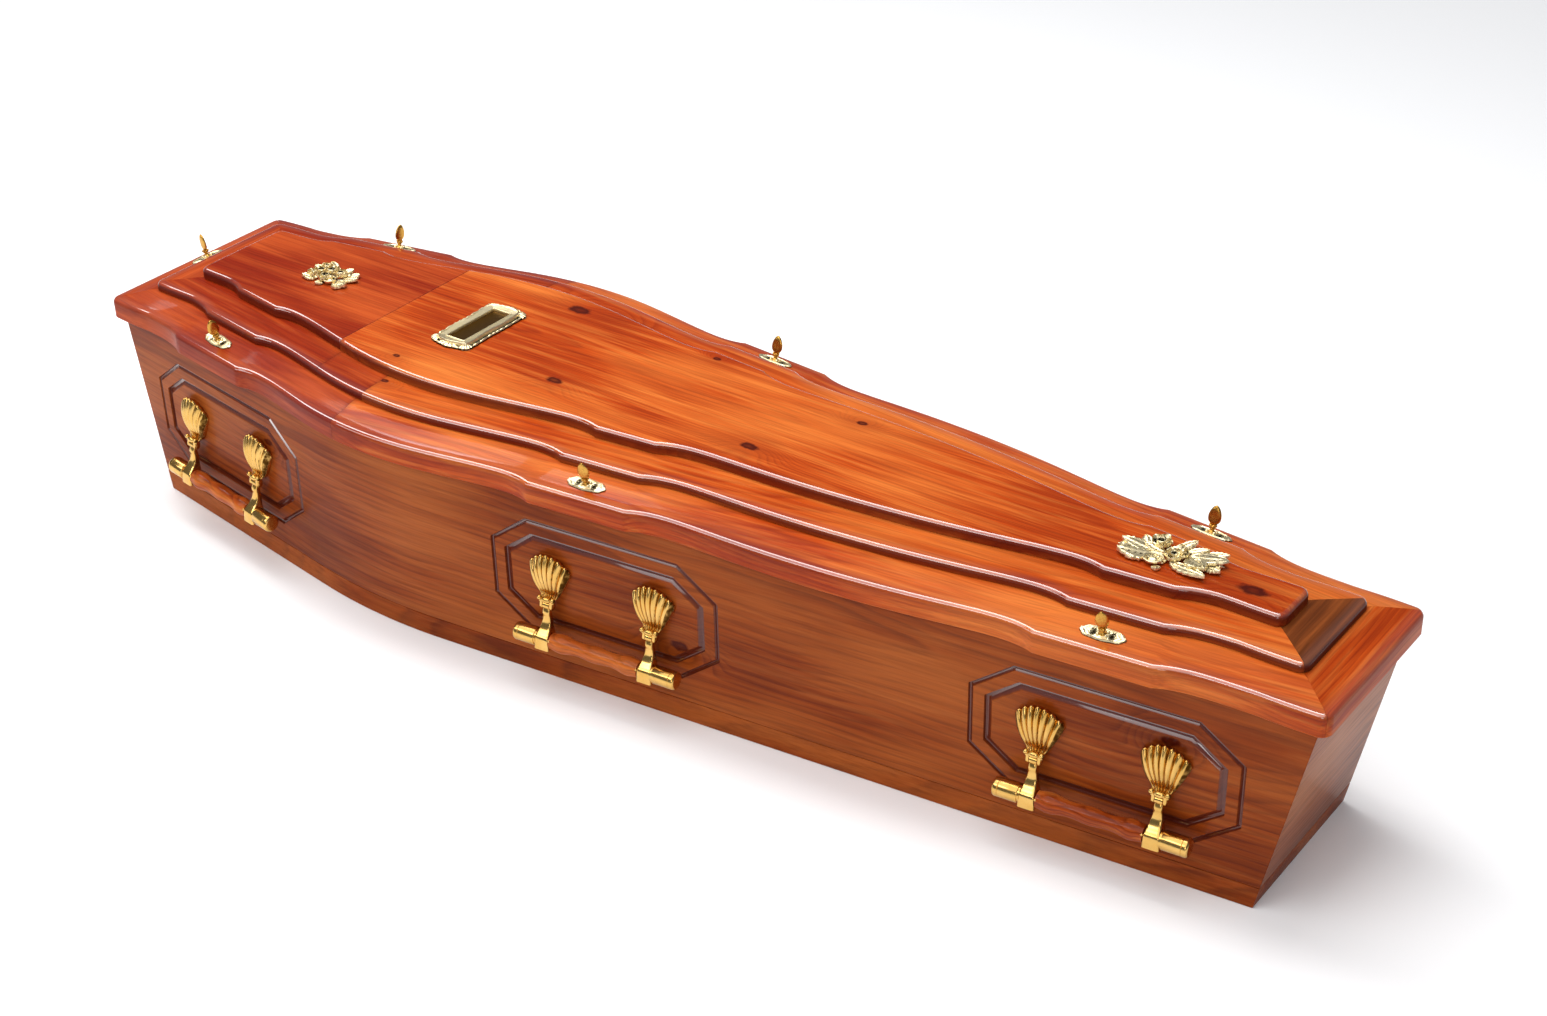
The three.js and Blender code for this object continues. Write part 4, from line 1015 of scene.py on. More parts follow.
def top_board(outline, joints, first, last, name, finish, board):
    """One of the top panel's two boards, rounded on its free edges and eased at the joint."""
    s = outline.s
    outer, r = s.top_inset, s.edge_round
    levels = [(outer + 0.5 * MM, outline.top_bottom), (outer, outline.top_bottom + 0.5 * MM)]
    levels += quarter(outer, outline.top_top, r)
    rings = []
    for inset, z in levels:
        sides = []
        for sign in (-1, 1):
            row = outline.long_row(inset, outer, z, joints, first, last, sign)
            if first == 0:
                row = outline.corner(inset, outer, z, -1, sign, 0, 45)[:-1] + row
            else:
                row[0].z -= 0.7 * MM if z > outline.top_top - r / 2 else 0
            if last == len(outline.keys(outer, outer, joints)) - 1:
                row += outline.corner(inset, outer, z, 1, sign, 45, 0)[1:]
            else:
                row[-1].z -= 0.7 * MM if z > outline.top_top - r / 2 else 0
            sides.append(row)
        rings.append(sides[0] + sides[1][::-1])
    bm = bmesh.new()
    cross_faces(bm, skin(bm, rings, caps=False))
    top = to_object(name, bm, finish)
    # Painted shade on the rounded edge, with the stain it holds; a dark line at the joint
    edge = painted_edge_shade(outline.top_top, r, 20 * MM)

    def painted_shade_and_stain_share(p):
        near = p.x > joints[-1] - 0.2 * MM if first == 0 else p.x < joints[0] + 0.2 * MM
        if near and p.z > outline.top_top - 2 * MM:
            return 0.3
        return 0.0 if abs(p.z - outline.top_top) < 0.1 * MM else edge(p)

    shine = rounded_gloss(outline.top_top, r)
    dress_wood(top, lambda p: (p.x, p.y, p.z - outline.top_top), board, painted_shade_and_stain_share,
               lambda p: shine(p) if p.z < outline.top_top - 0.05 * MM else 0.0)
    return top


# Handles

# The hinge pin and the bar in a handle's own frame, which has the wood's face at y = 0
PIN = (0, -14 * MM, 128 * MM)
BAR = (0, -25 * MM, 80 * MM)


def shell_depth(along):
    """Share of a shell's depth: a collar at the neck, then a dome that rolls back at the rim."""
    if along < 0.16:
        return 0.62 + 0.22 * ((0.16 - along) / 0.16) ** 2
    share = (along - 0.16) / 0.84
    if share < 0.6:
        return 0.62 + 0.38 * math.sin(math.pi / 2 * share / 0.6)
    return 1 - 0.36 * ((share - 0.6) / 0.4) ** 2


def shell_plate(fittings, finish):
    """Fluted shell with its lobed rim, its beaded neck and the two ears that hold the pin."""
    columns = 14 * fittings.flutes
    rows_up = 26
    neck, bottom = 9.5 * MM, 135 * MM
    # The rolled rim in millimetres: how far beyond the shell's end, and how far behind its face
    lip = ((0, 0), (1.0, 0.8), (1.8, 2.2), (1.9, 3.8), (1.0, 5.4), (-1.0, 6.4), (-2.6, 9.0))

    def front(along, across, ridge):
        half = neck + (fittings.plate_half_width - neck) * along ** 0.75
        lobe = 4.2 * MM * ridge * along ** 2
        reach = (fittings.plate_height * along * (1 - 0.33 * across ** 2) + lobe
                 - 1.2 * MM * along ** 2)
        dome = 1 - 0.5 * across ** 2 * (0.4 + 0.6 * along)
        out = fittings.plate_depth * shell_depth(along) * dome
        return half * across, out - 4.2 * MM * (1 - ridge) * (0.25 + 0.75 * along), bottom + reach

    def row(along, beyond, behind, back=False):
        points = []
        for c in range(columns + 1):
            across = 2 * c / columns - 1
            ridge = abs(math.sin(math.pi * (across + 1) * fittings.flutes / 2)) ** 0.75
            x, out, z = front(along, across, ridge)
            tuck = 0.4 + 0.6 * ridge
            z += beyond * tuck
            out = GAP if back else max(GAP, out - behind * tuck)
            points.append(Vector((x, -out, z)))
        start, stop = (Vector((p.x, -GAP, p.z)) for p in (points[0], points[-1]))
        return [start, *points, stop]

    rows = [row(0, 0, 0, back=True)]
    rows += [row(i / rows_up, 0, 0) for i in range(rows_up + 1)]
    rows += [row(1, beyond * MM, behind * MM) for beyond, behind in lip[1:]]
    rows.append(row(1, -3.6 * MM, 0, back=True))
    bm = bmesh.new()
    skin(bm, rows, closed=False, caps=False)
    bmesh.ops.remove_doubles(bm, verts=bm.verts, dist=0.002 * MM)
    bmesh.ops.holes_fill(bm, edges=[e for e in bm.edges if e.is_boundary])
    for x in (-10.6, 10.6):
        ball(bm, (x * MM, -16.5 * MM, 139.0 * MM), [3.7 * MM] * 3, 18)
    ball(bm, (0, -17.6 * MM, 137.6 * MM), (7.6 * MM, 3.8 * MM, 4.4 * MM), 24)
    turned(bm, mm((-12, 1), (-11, 2.2), (11, 2.2), (12, 1)), 14,
           centre=(0, -15.5 * MM, 134.2 * MM))
    for sign in (-1, 1):
        inner, outer = sign * 5.8 * MM, sign * 9.8 * MM
        turns = [math.radians(a) for a in range(180, 361, 15)]
        ear = [(14 + 5.6 * math.cos(a), 128 + 5.6 * math.sin(a)) for a in turns]
        ear += [(17.2, 137.0), (8.4, 137.0)]
        mid = sum(p[0] for p in ear) / len(ear), 131
        sections = []
        for x, shrink in ((inner, 0.94), (inner + sign * 0.4 * MM, 1), (outer - sign * 0.7 * MM, 1),
                          (outer, 0.88)):
            sections.append([Vector((x, -(mid[0] + (o - mid[0]) * shrink) * MM,
                                     (mid[1] + (z - mid[1]) * shrink) * MM))
                             for o, z in ear])
        skin(bm, sections)
    turned(bm, mm((-10.6, 1.2), (-10.1, 2.6), (10.1, 2.6), (10.6, 1.2)), 16, centre=PIN)
    made = to_object("shell plate pattern", bm, finish, sharp=50)

    def hollow(p):
        if p.z < bottom + 2 * MM or p.y > -2 * MM:
            return 0.0
        along = min(1.0, (p.z - bottom) / fittings.plate_height)
        half = neck + (fittings.plate_half_width - neck) * along ** 0.75
        across = max(-1.0, min(1.0, p.x / half))
        ridge = abs(math.sin(math.pi * (across + 1) * fittings.flutes / 2))
        return max(0.0, 0.7 - 1.3 * ridge)

    hollow_by(made, hollow)
    return made


def rounded_section(centre, half_x, half_y, z, power):
    """A superellipse in a level plane, square with soft corners at a high power."""
    points = []
    for i in range(28):
        angle = 2 * math.pi * (i + 0.5) / 28
        c, s = math.cos(angle), math.sin(angle)
        points.append(Vector((
            centre[0] + half_x * swelled(c, 2 / power),
            centre[1] + half_y * swelled(s, 2 / power), z)))
    return points


def smooth_through(keys, t):
    """Catmull-Rom value at t through keys given as (t, value, value, ...)."""
    k = max(i for i in range(len(keys) - 1) if keys[i][0] <= t or i == 0)
    before, start, stop, after = (keys[max(0, min(len(keys) - 1, k + d))] for d in (-1, 0, 1, 2))
    u = (t - start[0]) / (stop[0] - start[0])
    values = []
    for i in range(1, len(start)):
        a, b, c, d = before[i], start[i], stop[i], after[i]
        values.append(0.5 * (2 * b + (c - a) * u + (2 * a - 5 * b + 4 * c - d) * u * u
                             + (3 * b - a - 3 * c + d) * u ** 3))
    return values


# An arm on its way from the eye to the bar: share of the way, then height, distance out, width
# and depth in millimetres, and how square the section is
ARM_WAY = (
    (0.00, 126.0, 14.0, 10.6, 8.0, 3.0), (0.10, 119.0, 16.2, 11.6, 10.0, 3.0),
    (0.22, 112.0, 15.8, 12.4, 9.5, 3.4), (0.38, 104.0, 16.4, 13.8, 10.0, 4.5),
    (0.55, 96.5, 18.8, 16.6, 13.0, 6.0), (0.72, 90.0, 22.0, 19.4, 18.5, 8.0),
    (0.84, 84.0, 24.2, 21.4, 23.2, 10.0), (1.00, 68.5, 25.0, 23.0, 24.0, 10.0),
)


def arm_mesh(fittings, sign):
    """Handle arm: eye, knuckle, waist, the block that holds the bar, and the rounded end cap."""
    bm = bmesh.new()
    centre = sign * fittings.plate_spacing / 2
    sections = []
    for i in range(37):
        z, out, wide, deep, power = smooth_through(ARM_WAY, i / 36)
        sections.append(rounded_section((centre, -out * MM), wide / 2 * MM, deep / 2 * MM, z * MM,
                                        power))
    skin(bm, sections)
    turned(bm, [(centre - 5.5 * MM, 4.4 * MM), (centre - 5.0 * MM, 5.6 * MM),
                (centre + 5.0 * MM, 5.6 * MM), (centre + 5.5 * MM, 4.4 * MM)],
           24, centre=PIN)
    start = fittings.plate_spacing / 2 + fittings.arm_width / 2 - 2 * MM
    end = start + 2 * MM + fittings.cap_length
    r = fittings.cap_radius
    profile = [(start, r - 1.4 * MM), (start + 2.6 * MM, r - 1.4 * MM),
               (start + 3.0 * MM, r - 0.4 * MM), (start + 3.8 * MM, r), (end - 9.4 * MM, r),
               (end - 8.9 * MM, r - 0.5 * MM), (end - 8.4 * MM, r)]
    for angle in range(0, 91, 10):
        a = math.radians(angle)
        profile.append((end - 5 * MM + 4.4 * MM * math.sin(a), r - 4 * MM * (1 - math.cos(a))))
    profile += [(end - 0.3 * MM, r - 6 * MM), (end, 0.3 * r), (end, 0.0)]
    turned(bm, [(sign * x, radius) for x, radius in profile], 36, centre=BAR)
    ball(bm, (centre - sign * 12.2 * MM, -34 * MM, 84.5 * MM), (2 * MM, 2 * MM, 2 * MM), 12)
    return bm


def grip_radius(share, radius):
    """Radius of the turned grip: a bulge near each end and a smaller one in the middle."""
    away = abs(share)
    bulge = math.exp(-((away - 0.76) / 0.20) ** 2)
    swell = 0.55 * math.exp(-(away / 0.21) ** 2)
    return radius * (0.74 + 0.26 * max(bulge, swell) + 0.03 * max(0.0, (away - 0.93) / 0.07))


def grip_mesh(fittings):
    """The turned grip between the two arms, which hides the bar."""
    bm = bmesh.new()
    half = fittings.plate_spacing / 2 - fittings.arm_width / 2 - GAP
    profile = [(-half, 0.0)]
    profile += [(half * (i / 36 - 1), grip_radius(i / 36 - 1, fittings.grip_radius))
                for i in range(73)]
    profile.append((half, 0.0))
    turned(bm, profile, 40, centre=BAR)
    return bm


# Lid screws

def plate_eye(x, y, long, wide):
    """1 in the middle of each of the screw plate's two hollows, and 0 outside them."""
    return math.exp(-(((abs(x) - 11.5 * MM) / long) ** 2 + (y / wide) ** 2) ** 2)


def leaf_scales(t, across):
    """Crossing rows of scales on a leaf head, 1 on a scale's middle."""
    return 0.5 + 0.5 * math.cos(11 * math.pi * t + 5 * across) * math.cos(
        11 * math.pi * t - 5 * across)


def screw_plate(finish):
    """Oval scrolled plate: a raised rim, leafy ends, two dark hollows and a boss for the neck."""
    bm = bmesh.new()
    rings, count = 26, 96
    long, wide = 30 * MM, 11 * MM
    rows = []
    for i in range(rings + 1):
        share = 1 - i / rings * 0.97
        row = []
        for j in range(count):
            angle = 2 * math.pi * j / count
            c, s = math.cos(angle), math.sin(angle)
            scroll = 1 - 0.06 * (0.5 - 0.5 * math.cos(8 * angle)) * share
            x = long * share * scroll * swelled(c, 0.85)
            y = wide * share * scroll * swelled(s, 0.85)
            rim = bell(share - 0.88, 0.06)
            boss = math.exp(-((x / (7 * MM)) ** 2 + (y / (6 * MM)) ** 2))
            eye = plate_eye(x, y, 3.4 * MM, 4.2 * MM)
            leafy = 0.5 - 0.5 * math.cos(2 * math.pi * (abs(x) / (4.6 * MM) + abs(y) / (6 * MM)))
            ends = clamp((abs(x) - 15 * MM) / (3 * MM)) * (1 - rim)
            z = 1.1 + 1.4 * rim + 2.4 * boss + 0.9 * leafy * ends - 1.5 * eye
            row.append(Vector((x, y, max(0.3, z) * MM if i else 0.9 * MM)))
        rows.append(row)
    base = [Vector((p.x, p.y, 0.0)) for p in rows[0]]
    skin(bm, [base, *rows])
    for x, y in ((-5.4, -3.2), (-5.4, 3.2), (5.4, -3.2), (5.4, 3.2)):
        ball(bm, (x * MM, y * MM, 2.6 * MM), [2.3 * MM] * 3, 12)
    made = to_object("screw plate pattern", bm, finish, sharp=50)

    def hollow(p):
        eye = plate_eye(p.x, p.y, 4 * MM, 4.8 * MM)
        low = clamp((1.75 * MM - p.z) / (0.7 * MM))
        return min(1.0, max(0.85 * eye, 0.7 * low)) if p.z < 3 * MM else 0.0

    hollow_by(made, hollow)
    return made


def screw_leaf(finish):
    """The screw's neck with its beads, and the flat egg-shaped leaf that turns it."""
    bm = bmesh.new()
    high, half, thick = 27 * MM, 8.5 * MM, 5 * MM
    keys = ((0.0, 0.20), (0.08, 0.52), (0.2, 0.86), (0.36, 1.0), (0.54, 0.97), (0.72, 0.80),
            (0.87, 0.55), (0.96, 0.28), (1.0, 0.06))
    sections = []
    for i in range(41):
        t = i / 40
        width = clamp(smooth_through(keys, t)[0], 0.04) * half
        deep = thick / 2 * min(1.0, 0.25 + 1.1 * math.sin(math.pi * min(1, 0.06 + 0.94 * t)) ** 0.7)
        ring = []
        for j in range(28):
            angle = 2 * math.pi * j / 28
            c, s = math.cos(angle), math.sin(angle)
            across = swelled(c, 0.8)
            scale = leaf_scales(t, across)
            ring.append(Vector((width * across,
                                deep * s * (0.9 + 0.08 * scale) * (1 - 0.3 * across ** 4),
                                11 * MM + t * high)))
        sections.append(ring)
    skin(bm, sections)
    turned(bm, mm((0.5, 5.0), (3.4, 4.8), (4.2, 3.6), (5.4, 2.7), (7.4, 2.7), (8.4, 4.0),
                  (9.6, 4.6), (10.8, 4.2), (12.0, 2.6)), 24, axis="Z")
    for k in range(6):
        angle = math.radians(60 * k)
        ball(bm, (3.9 * MM * math.cos(angle), 3.9 * MM * math.sin(angle), 11.4 * MM),
             [1.7 * MM] * 3, 10)
    made = to_object("screw leaf pattern", bm, finish, sharp=60)

    def hollow(p):
        t = max(0.0, (p.z - 11 * MM) / high)
        return 0.5 * (1 - leaf_scales(t, p.x / half)) if p.z > 13.5 * MM else 0.3

    hollow_by(made, hollow)
    return made


# Nameplate

SUNK_HALF = (0.016, 0.050)  # half the sunk panel, along the lid and across it


def nameplate_outline(fittings):
    """Pairs of points round the nameplate: on the sunk panel's edge and on the scrolled rim."""
    pairs = []
    count, fine = 336, 2400  # points kept at even spacing, of those that are tried
    for i in range(fine):
        angle = 2 * math.pi * i / fine
        c, s = math.cos(angle), math.sin(angle)
        reach = 1 / max(abs(c), abs(s))
        inner = Vector((c * reach * SUNK_HALF[0], s * reach * SUNK_HALF[1], 0))
        soft = (abs(c) ** 6 + abs(s) ** 6) ** (-1 / 6)
        scroll = 0.93 - 0.055 * bell(s, 0.45) + 0.065 * bell(c, 0.42)
        outer = Vector((c * soft * fittings.nameplate_width / 2 * scroll,
                        s * soft * fittings.nameplate_length / 2 * scroll, 0))
        pairs.append((inner, outer))
    walked = [0.0]
    for (_, a), (_, b) in zip(pairs, pairs[1:] + pairs[:1]):
        walked.append(walked[-1] + (b - a).length)
    even, k = [], 0
    for i in range(count):
        target = walked[-1] * i / count
        while walked[k + 1] < target:
            k += 1
        even.append(pairs[k])
    return even


# Share of the way out and height of the nameplate's relief, in millimetres
PLATE_RELIEF = ((1.0, 0.0), (1.0, 1.2), (0.99, 2.6), (0.96, 3.8), (0.92, 4.2), (0.88, 3.9),
                (0.85, 2.8), (0.82, 1.2), (0.78, 0.8), (0.70, 0.8), (0.66, 1.2), (0.635, 3.2),
                (0.615, 5.6), (0.595, 7.0), (0.565, 7.7), (0.535, 7.6), (0.51, 7.0), (0.49, 6.7),
                (0.40, 6.4), (0.28, 5.9), (0.16, 5.5), (0.10, 5.4), (0.08, 5.9), (0.05, 6.2),
                (0.02, 5.9), (0.0, 5.0), (0.0, 2.2))
RIM_BEADS = 34  # round the whole rim


def nameplate_rim(fittings, finish):
    """Beaded rim, dark channel, raised line and the flat border that slopes in to the panel."""
    bm = bmesh.new()
    around = nameplate_outline(fittings)
    count = len(around)
    rows = []
    for share, high in PLATE_RELIEF:
        row = []
        for i, (inner, outer) in enumerate(around):
            turn = 2 * math.pi * i / count
            bead = abs(math.sin(RIM_BEADS * turn / 2 + 1.3 * math.sin(6 * turn))) ** 0.7
            wander = 0.045 * math.sin(6 * turn) if 0.5 < share < 0.86 else 0.0
            push = 0.0
            if share > 0.86:
                push = 0.05 * (bead - 1) + 0.03 * math.sin(6 * turn + 0.6) - 0.03
            point = inner.lerp(outer, share + push + wander)
            level = high - (1.5 * (1 - bead) if share > 0.83 and high > 1.3 else 0)
            row.append(Vector((point.x, point.y, level * MM)))
        rows.append(row)
    rows.append([Vector((p.x, p.y, 0.0)) for p in rows[-1]])
    skin(bm, rows + rows[:1], caps=False)
    made = to_object("nameplate_scrolled_rim", bm, finish, sharp=45)

    # Painted shade in the low channel round the rim, along with its patina
    def hollow(p):
        within = all(abs(p[i]) < SUNK_HALF[i] + 0.5 * MM for i in (0, 1))
        return 0.0 if within else clamp((2.9 * MM - p.z) / (1.4 * MM))

    hollow_by(made, hollow)
    return made


def nameplate_shell(finish):
    """Small scrolled shell that covers a corner of the nameplate."""
    bm = bmesh.new()
    rings = []
    for i in range(9):
        along = i / 8
        row = []
        for j in range(25):
            across = j / 12 - 1
            fan = math.radians(62 * across)
            ridge = abs(math.cos(math.pi * across * 2.5))
            reach = (3.0 + 9.5 * along) * (1 + 0.07 * ridge * along)
            high = (1.2 + 2.6 * math.sin(math.pi * (0.15 + 0.75 * along)) * (1 - 0.4 * across ** 2)
                    + 0.7 * ridge)
            row.append(Vector((reach * math.cos(fan) * MM, reach * math.sin(fan) * MM, high * MM)))
        rings.append(row + [Vector((p.x, p.y, 0.0)) for p in reversed(row)])
    skin(bm, rings)
    ball(bm, (2.5 * MM, 0, 3.2 * MM), (2.6 * MM, 2.6 * MM, 2.0 * MM), 14)
    made = to_object("nameplate shell pattern", bm, finish, sharp=50)

    def hollow(p):
        angle = math.degrees(math.atan2(p.y, max(1e-6, p.x))) / 62
        return 1 - abs(math.cos(math.pi * angle * 2.5)) if p.z > 0.5 * MM else 0.6

    hollow_by(made, hollow)
    return made


# Flower sprays

def backed(bm, rows, thick):
    """Skins rows of a thin casting's face together with a back that lies that far under it."""
    skin(bm, [row + [Vector((p.x, p.y, max(0.0, p.z - thick))) for p in reversed(row)]
              for row in rows])


def cast_leaf(finish, name, serrations, curl):
    """A cast leaf one unit of 10 mm long: raised rim, sunk blade, midrib and side veins."""
    bm = bmesh.new()
    rows = []
    for i in range(25):
        t = i / 24
        half = 2.4 * math.sin(math.pi * t ** 0.82) ** 0.8 + 0.12
        half *= 1 + 0.09 * math.sin(serrations * 2 * math.pi * t)
        row = []
        for j in range(13):
            across = j / 6 - 1
            rim = bell(abs(across) - 0.86, 0.13)
            rib = bell(across, 0.13)
            vein = 0.5 + 0.5 * math.cos(2 * math.pi * (serrations * t - 1.4 * abs(across)))
            lift = curl * math.sin(math.pi * 0.5 * t) + 0.5 * (1 - across * across)
            high = 0.5 + 0.55 * rim + 0.45 * rib + 0.18 * vein + lift
            row.append(Vector((10 * t, half * across, max(0.2, high))) * MM)
        rows.append(row)
    backed(bm, rows, 1.5 * MM)
    made = to_object(name, bm, finish, sharp=60)

    def hollow(p):
        t = clamp(p.x / (10 * MM))
        half = (2.4 * math.sin(math.pi * t ** 0.82) ** 0.8 + 0.12) * MM
        across = clamp(p.y / half, -1.0)
        rim = bell(abs(across) - 0.86, 0.2)
        rib = bell(across, 0.16)
        vein = 0.5 + 0.5 * math.cos(2 * math.pi * (serrations * t - 1.4 * abs(across)))
        return max(0.0, 0.75 - rim - rib - 0.35 * vein)

    hollow_by(made, hollow)
    return made


def cast_petal(finish, name):
    """A cupped petal one unit of 10 mm long with a thick rolled rim."""
    bm = bmesh.new()
    rows = []
    for i in range(17):
        t = i / 16
        half = 4.4 * math.sin(math.pi * min(1, 0.12 + 0.80 * t)) ** 0.55
        row = []
        for j in range(15):
            across = j / 7 - 1
            rim = max(bell(abs(across) - 0.9, 0.14), bell(t - 0.93, 0.09))
            cup = 0.4 + 2.2 * t * t + 1.6 * across * across * (0.3 + t)
            x = 10 * t - 1.9 * across * across * t
            row.append(Vector((x, half * across, cup + 0.8 * rim)) * MM)
        rows.append(row)
    backed(bm, rows, 1.3 * MM)
    made = to_object(name, bm, finish, sharp=60)

    def hollow(p):
        t = clamp(p.x / (9.4 * MM))
        rim = max(bell(abs(p.y) / (4.4 * MM) - 0.85, 0.22), bell(t - 0.95, 0.13))
        return max(0.0, 0.8 - rim)

    hollow_by(made, hollow)
    return made


def cast_bud(finish, name):
    """A round bud in its calyx, on a short stalk."""
    bm = bmesh.new()
    ball(bm, (0, 0, 2.6 * MM), (2.8 * MM, 2.5 * MM, 2.5 * MM), 18)
    turned(bm, mm((-5.2, 0.5), (-3.6, 0.9), (-2.4, 2.2), (-1.0, 3.1), (-0.4, 2.4)), 14,
           centre=(0, 0, 2.4 * MM))
    made = to_object(name, bm, finish, sharp=50)
    hollow_by(made, lambda p: 0.9 if p.z < 1.4 * MM else 0.15)
    return made


def cast_cup(finish, name):
    """A rosebud seen from above: an open cup with a rolled rim and a dome inside."""
    bm = bmesh.new()
    turned(bm, mm((0.0, 5.0), (1.6, 8.2), (3.4, 9.6), (4.6, 10.0), (5.3, 9.6), (5.5, 9.0),
                  (5.2, 8.4), (3.4, 7.4), (1.6, 6.9), (1.2, 6.2), (1.8, 5.4), (3.2, 4.4),
                  (4.3, 3.0), (4.8, 1.4), (4.9, 0.2)), 40, axis="Z")
    made = to_object(name, bm, finish, sharp=50)

    def hollow(p):
        out = math.hypot(p.x, p.y) / MM
        return bell(out - 6.5, 1.3) if p.z > 1 * MM else 0.5

    hollow_by(made, hollow)
    return made


# Cast pieces of the two sprays in millimetres: x, y, height of the seat, turn, lean, then the
# stretch of a pattern that is 10 mm long, along, across and upwards
FOOT_LEAVES = (
    (-22, -2, 0.3, 205, 5, 4.0, 5.2, 2.2), (-27, 4, 1.2, 182, 6, 3.7, 3.2, 1.8),
    (-37, 12, 0.3, 128, 8, 1.6, 2.2, 1.8), (-34, -12, 0.3, 232, 6, 1.9, 2.4, 1.6),
    (-2, 20, 0.3, 60, 8, 2.6, 2.3, 2.0), (3, -10, 0.3, -13, 5, 4.8, 2.7, 2.0),
    (17, 12, 1.8, -34, 7, 3.5, 4.0, 2.0), (17, 14, 1.4, 8, 7, 4.4, 3.6, 2.0),
    (28, 24, 0.3, 24, 6, 3.0, 2.6, 1.8), (44, 6, 0.4, -16, 9, 2.0, 2.2, 1.8),
    (-12, 4, 0.3, 240, 4, 2.2, 2.6, 1.6), (-14, 8, 0.5, 175, 5, 2.4, 2.6, 1.8),
    (8, -4, 0.3, -50, 4, 1.6, 2.2, 1.6), (-2, -8, 0.3, 205, 4, 1.8, 2.0, 1.5),
    (6, 10, 0.5, 100, 7, 1.9, 2.0, 1.8), (-14, 14, 0.4, 20, 5, 2.2, 2.2, 1.7),
    (-8, -24, 0.3, -60, 5, 1.0, 1.6, 1.4), (10, 22, 0.4, 28, 7, 2.4, 2.0, 2.0),
)
FOOT_PETALS = (
    (-24, 19, 0.4, 150, 12, 1.5, 1.5, 1.7), (-24, 19, 0.4, 80, 12, 1.7, 1.5, 1.7),
    (-24, 19, 0.4, 20, 14, 1.4, 1.4, 1.7), (-24, 19, 0.4, -60, 14, 1.2, 1.3, 1.5),
    (-24, 19, 2.2, 110, 40, 0.9, 1.0, 1.3), (-24, 19, 2.2, -10, 40, 0.9, 1.0, 1.3),
    (-24, 19, 2.2, 230, 40, 0.9, 1.0, 1.3), (-4, 12, 0.6, 40, 10, 1.7, 1.4, 1.8),
    (3, 1, 0.6, 200, 16, 1.3, 1.4, 1.6), (3, 1, 0.6, 130, 16, 1.3, 1.4, 1.6),
    (3, 1, 0.6, 60, 16, 1.4, 1.5, 1.6), (3, 1, 0.6, -10, 16, 1.3, 1.4, 1.6),
    (3, 1, 0.6, 270, 14, 1.3, 1.5, 1.6), (3, 1, 2.8, 20, 46, 0.8, 0.9, 1.3),
    (3, 1, 2.8, 140, 46, 0.8, 0.9, 1.3), (3, 1, 2.8, 260, 46, 0.8, 0.9, 1.3),
    (22, -5, 1.6, 2, 8, 2.1, 2.0, 2.2), (11, 9, 2.4, 30, 24, 0.9, 1.1, 1.4),
)
FOOT_CUPS = ((-16, -15, 0.3, 0, 0, 1.15, 0.95, 1.15), (44, 27, 0.8, 0, 0, 0.62, 0.62, 0.9),
             (12, 9, 1.6, 0, 0, 0.5, 0.45, 1.0))
FOOT_BUDS = ((-62, -5, 0.3, 8, 0, 1.15, 1.2, 1.2), (57, 15, 0.3, 195, 0, 0.9, 0.9, 1.0),
             (54, 26, 0.3, 215, 0, 0.8, 0.8, 0.9), (-50, 1, 1.6, 10, 0, 0.9, 0.9, 1.0))
HEAD_LEAVES = (
    (20, 4, 0.3, 14, 7, 2.3, 2.6, 1.8), (16, -10, 0.3, -12, 6, 2.5, 3.0, 2.0),
    (-16, -12, 0.3, 205, 6, 2.2, 2.8, 1.8), (-14, 20, 0.3, 140, 6, 1.9, 2.6, 1.8),
    (-20, 8, 0.3, 172, 6, 2.2, 2.4, 1.8), (8, 18, 0.3, 62, 8, 1.5, 2.2, 1.8),
    (0, -18, 0.3, 250, 5, 1.2, 1.8, 1.5), (-30, 14, 0.3, 100, 6, 1.3, 2.2, 1.6),
    (28, -16, 0.3, -70, 6, 1.1, 2.2, 1.6), (-34, -12, 0.3, 250, 6, 1.1, 2.0, 1.6),
    (26, 14, 0.3, 60, 6, 1.3, 2.2, 1.6),
)
HEAD_PETALS = tuple(
    (x, y, 0.5 + 1.1 * ring, turn + 25 * ring, 12 + 24 * ring, size - 0.35 * ring,
     size - 0.3 * ring, 1.6)
    for x, y, size, first in ((-20, 0, 1.25, 20), (-6, 8, 1.3, 50), (-2, -10, 1.3, 0),
                              (12, 8, 1.15, 75), (-22, 14, 1.05, 40), (-26, -10, 1.0, 10))
    for ring in (0, 1) for turn in (range(first, first + 360, 72) if ring == 0
                                    else range(first + 36, first + 396, 120)))
HEAD_CUPS = ((10, -13, 0.4, 0, 0, 0.8, 0.75, 1.2), (30, -13, 0.4, 0, 0, 0.62, 0.6, 1.1))
HEAD_BUDS = ((24, 14, 0.3, 200, 0, 1.1, 1.1, 1.2), (-36, 22, 0.3, -40, 0, 1.0, 1.0, 1.1),
             (-40, -2, 0.3, 20, 0, 1.0, 1.0, 1.1))


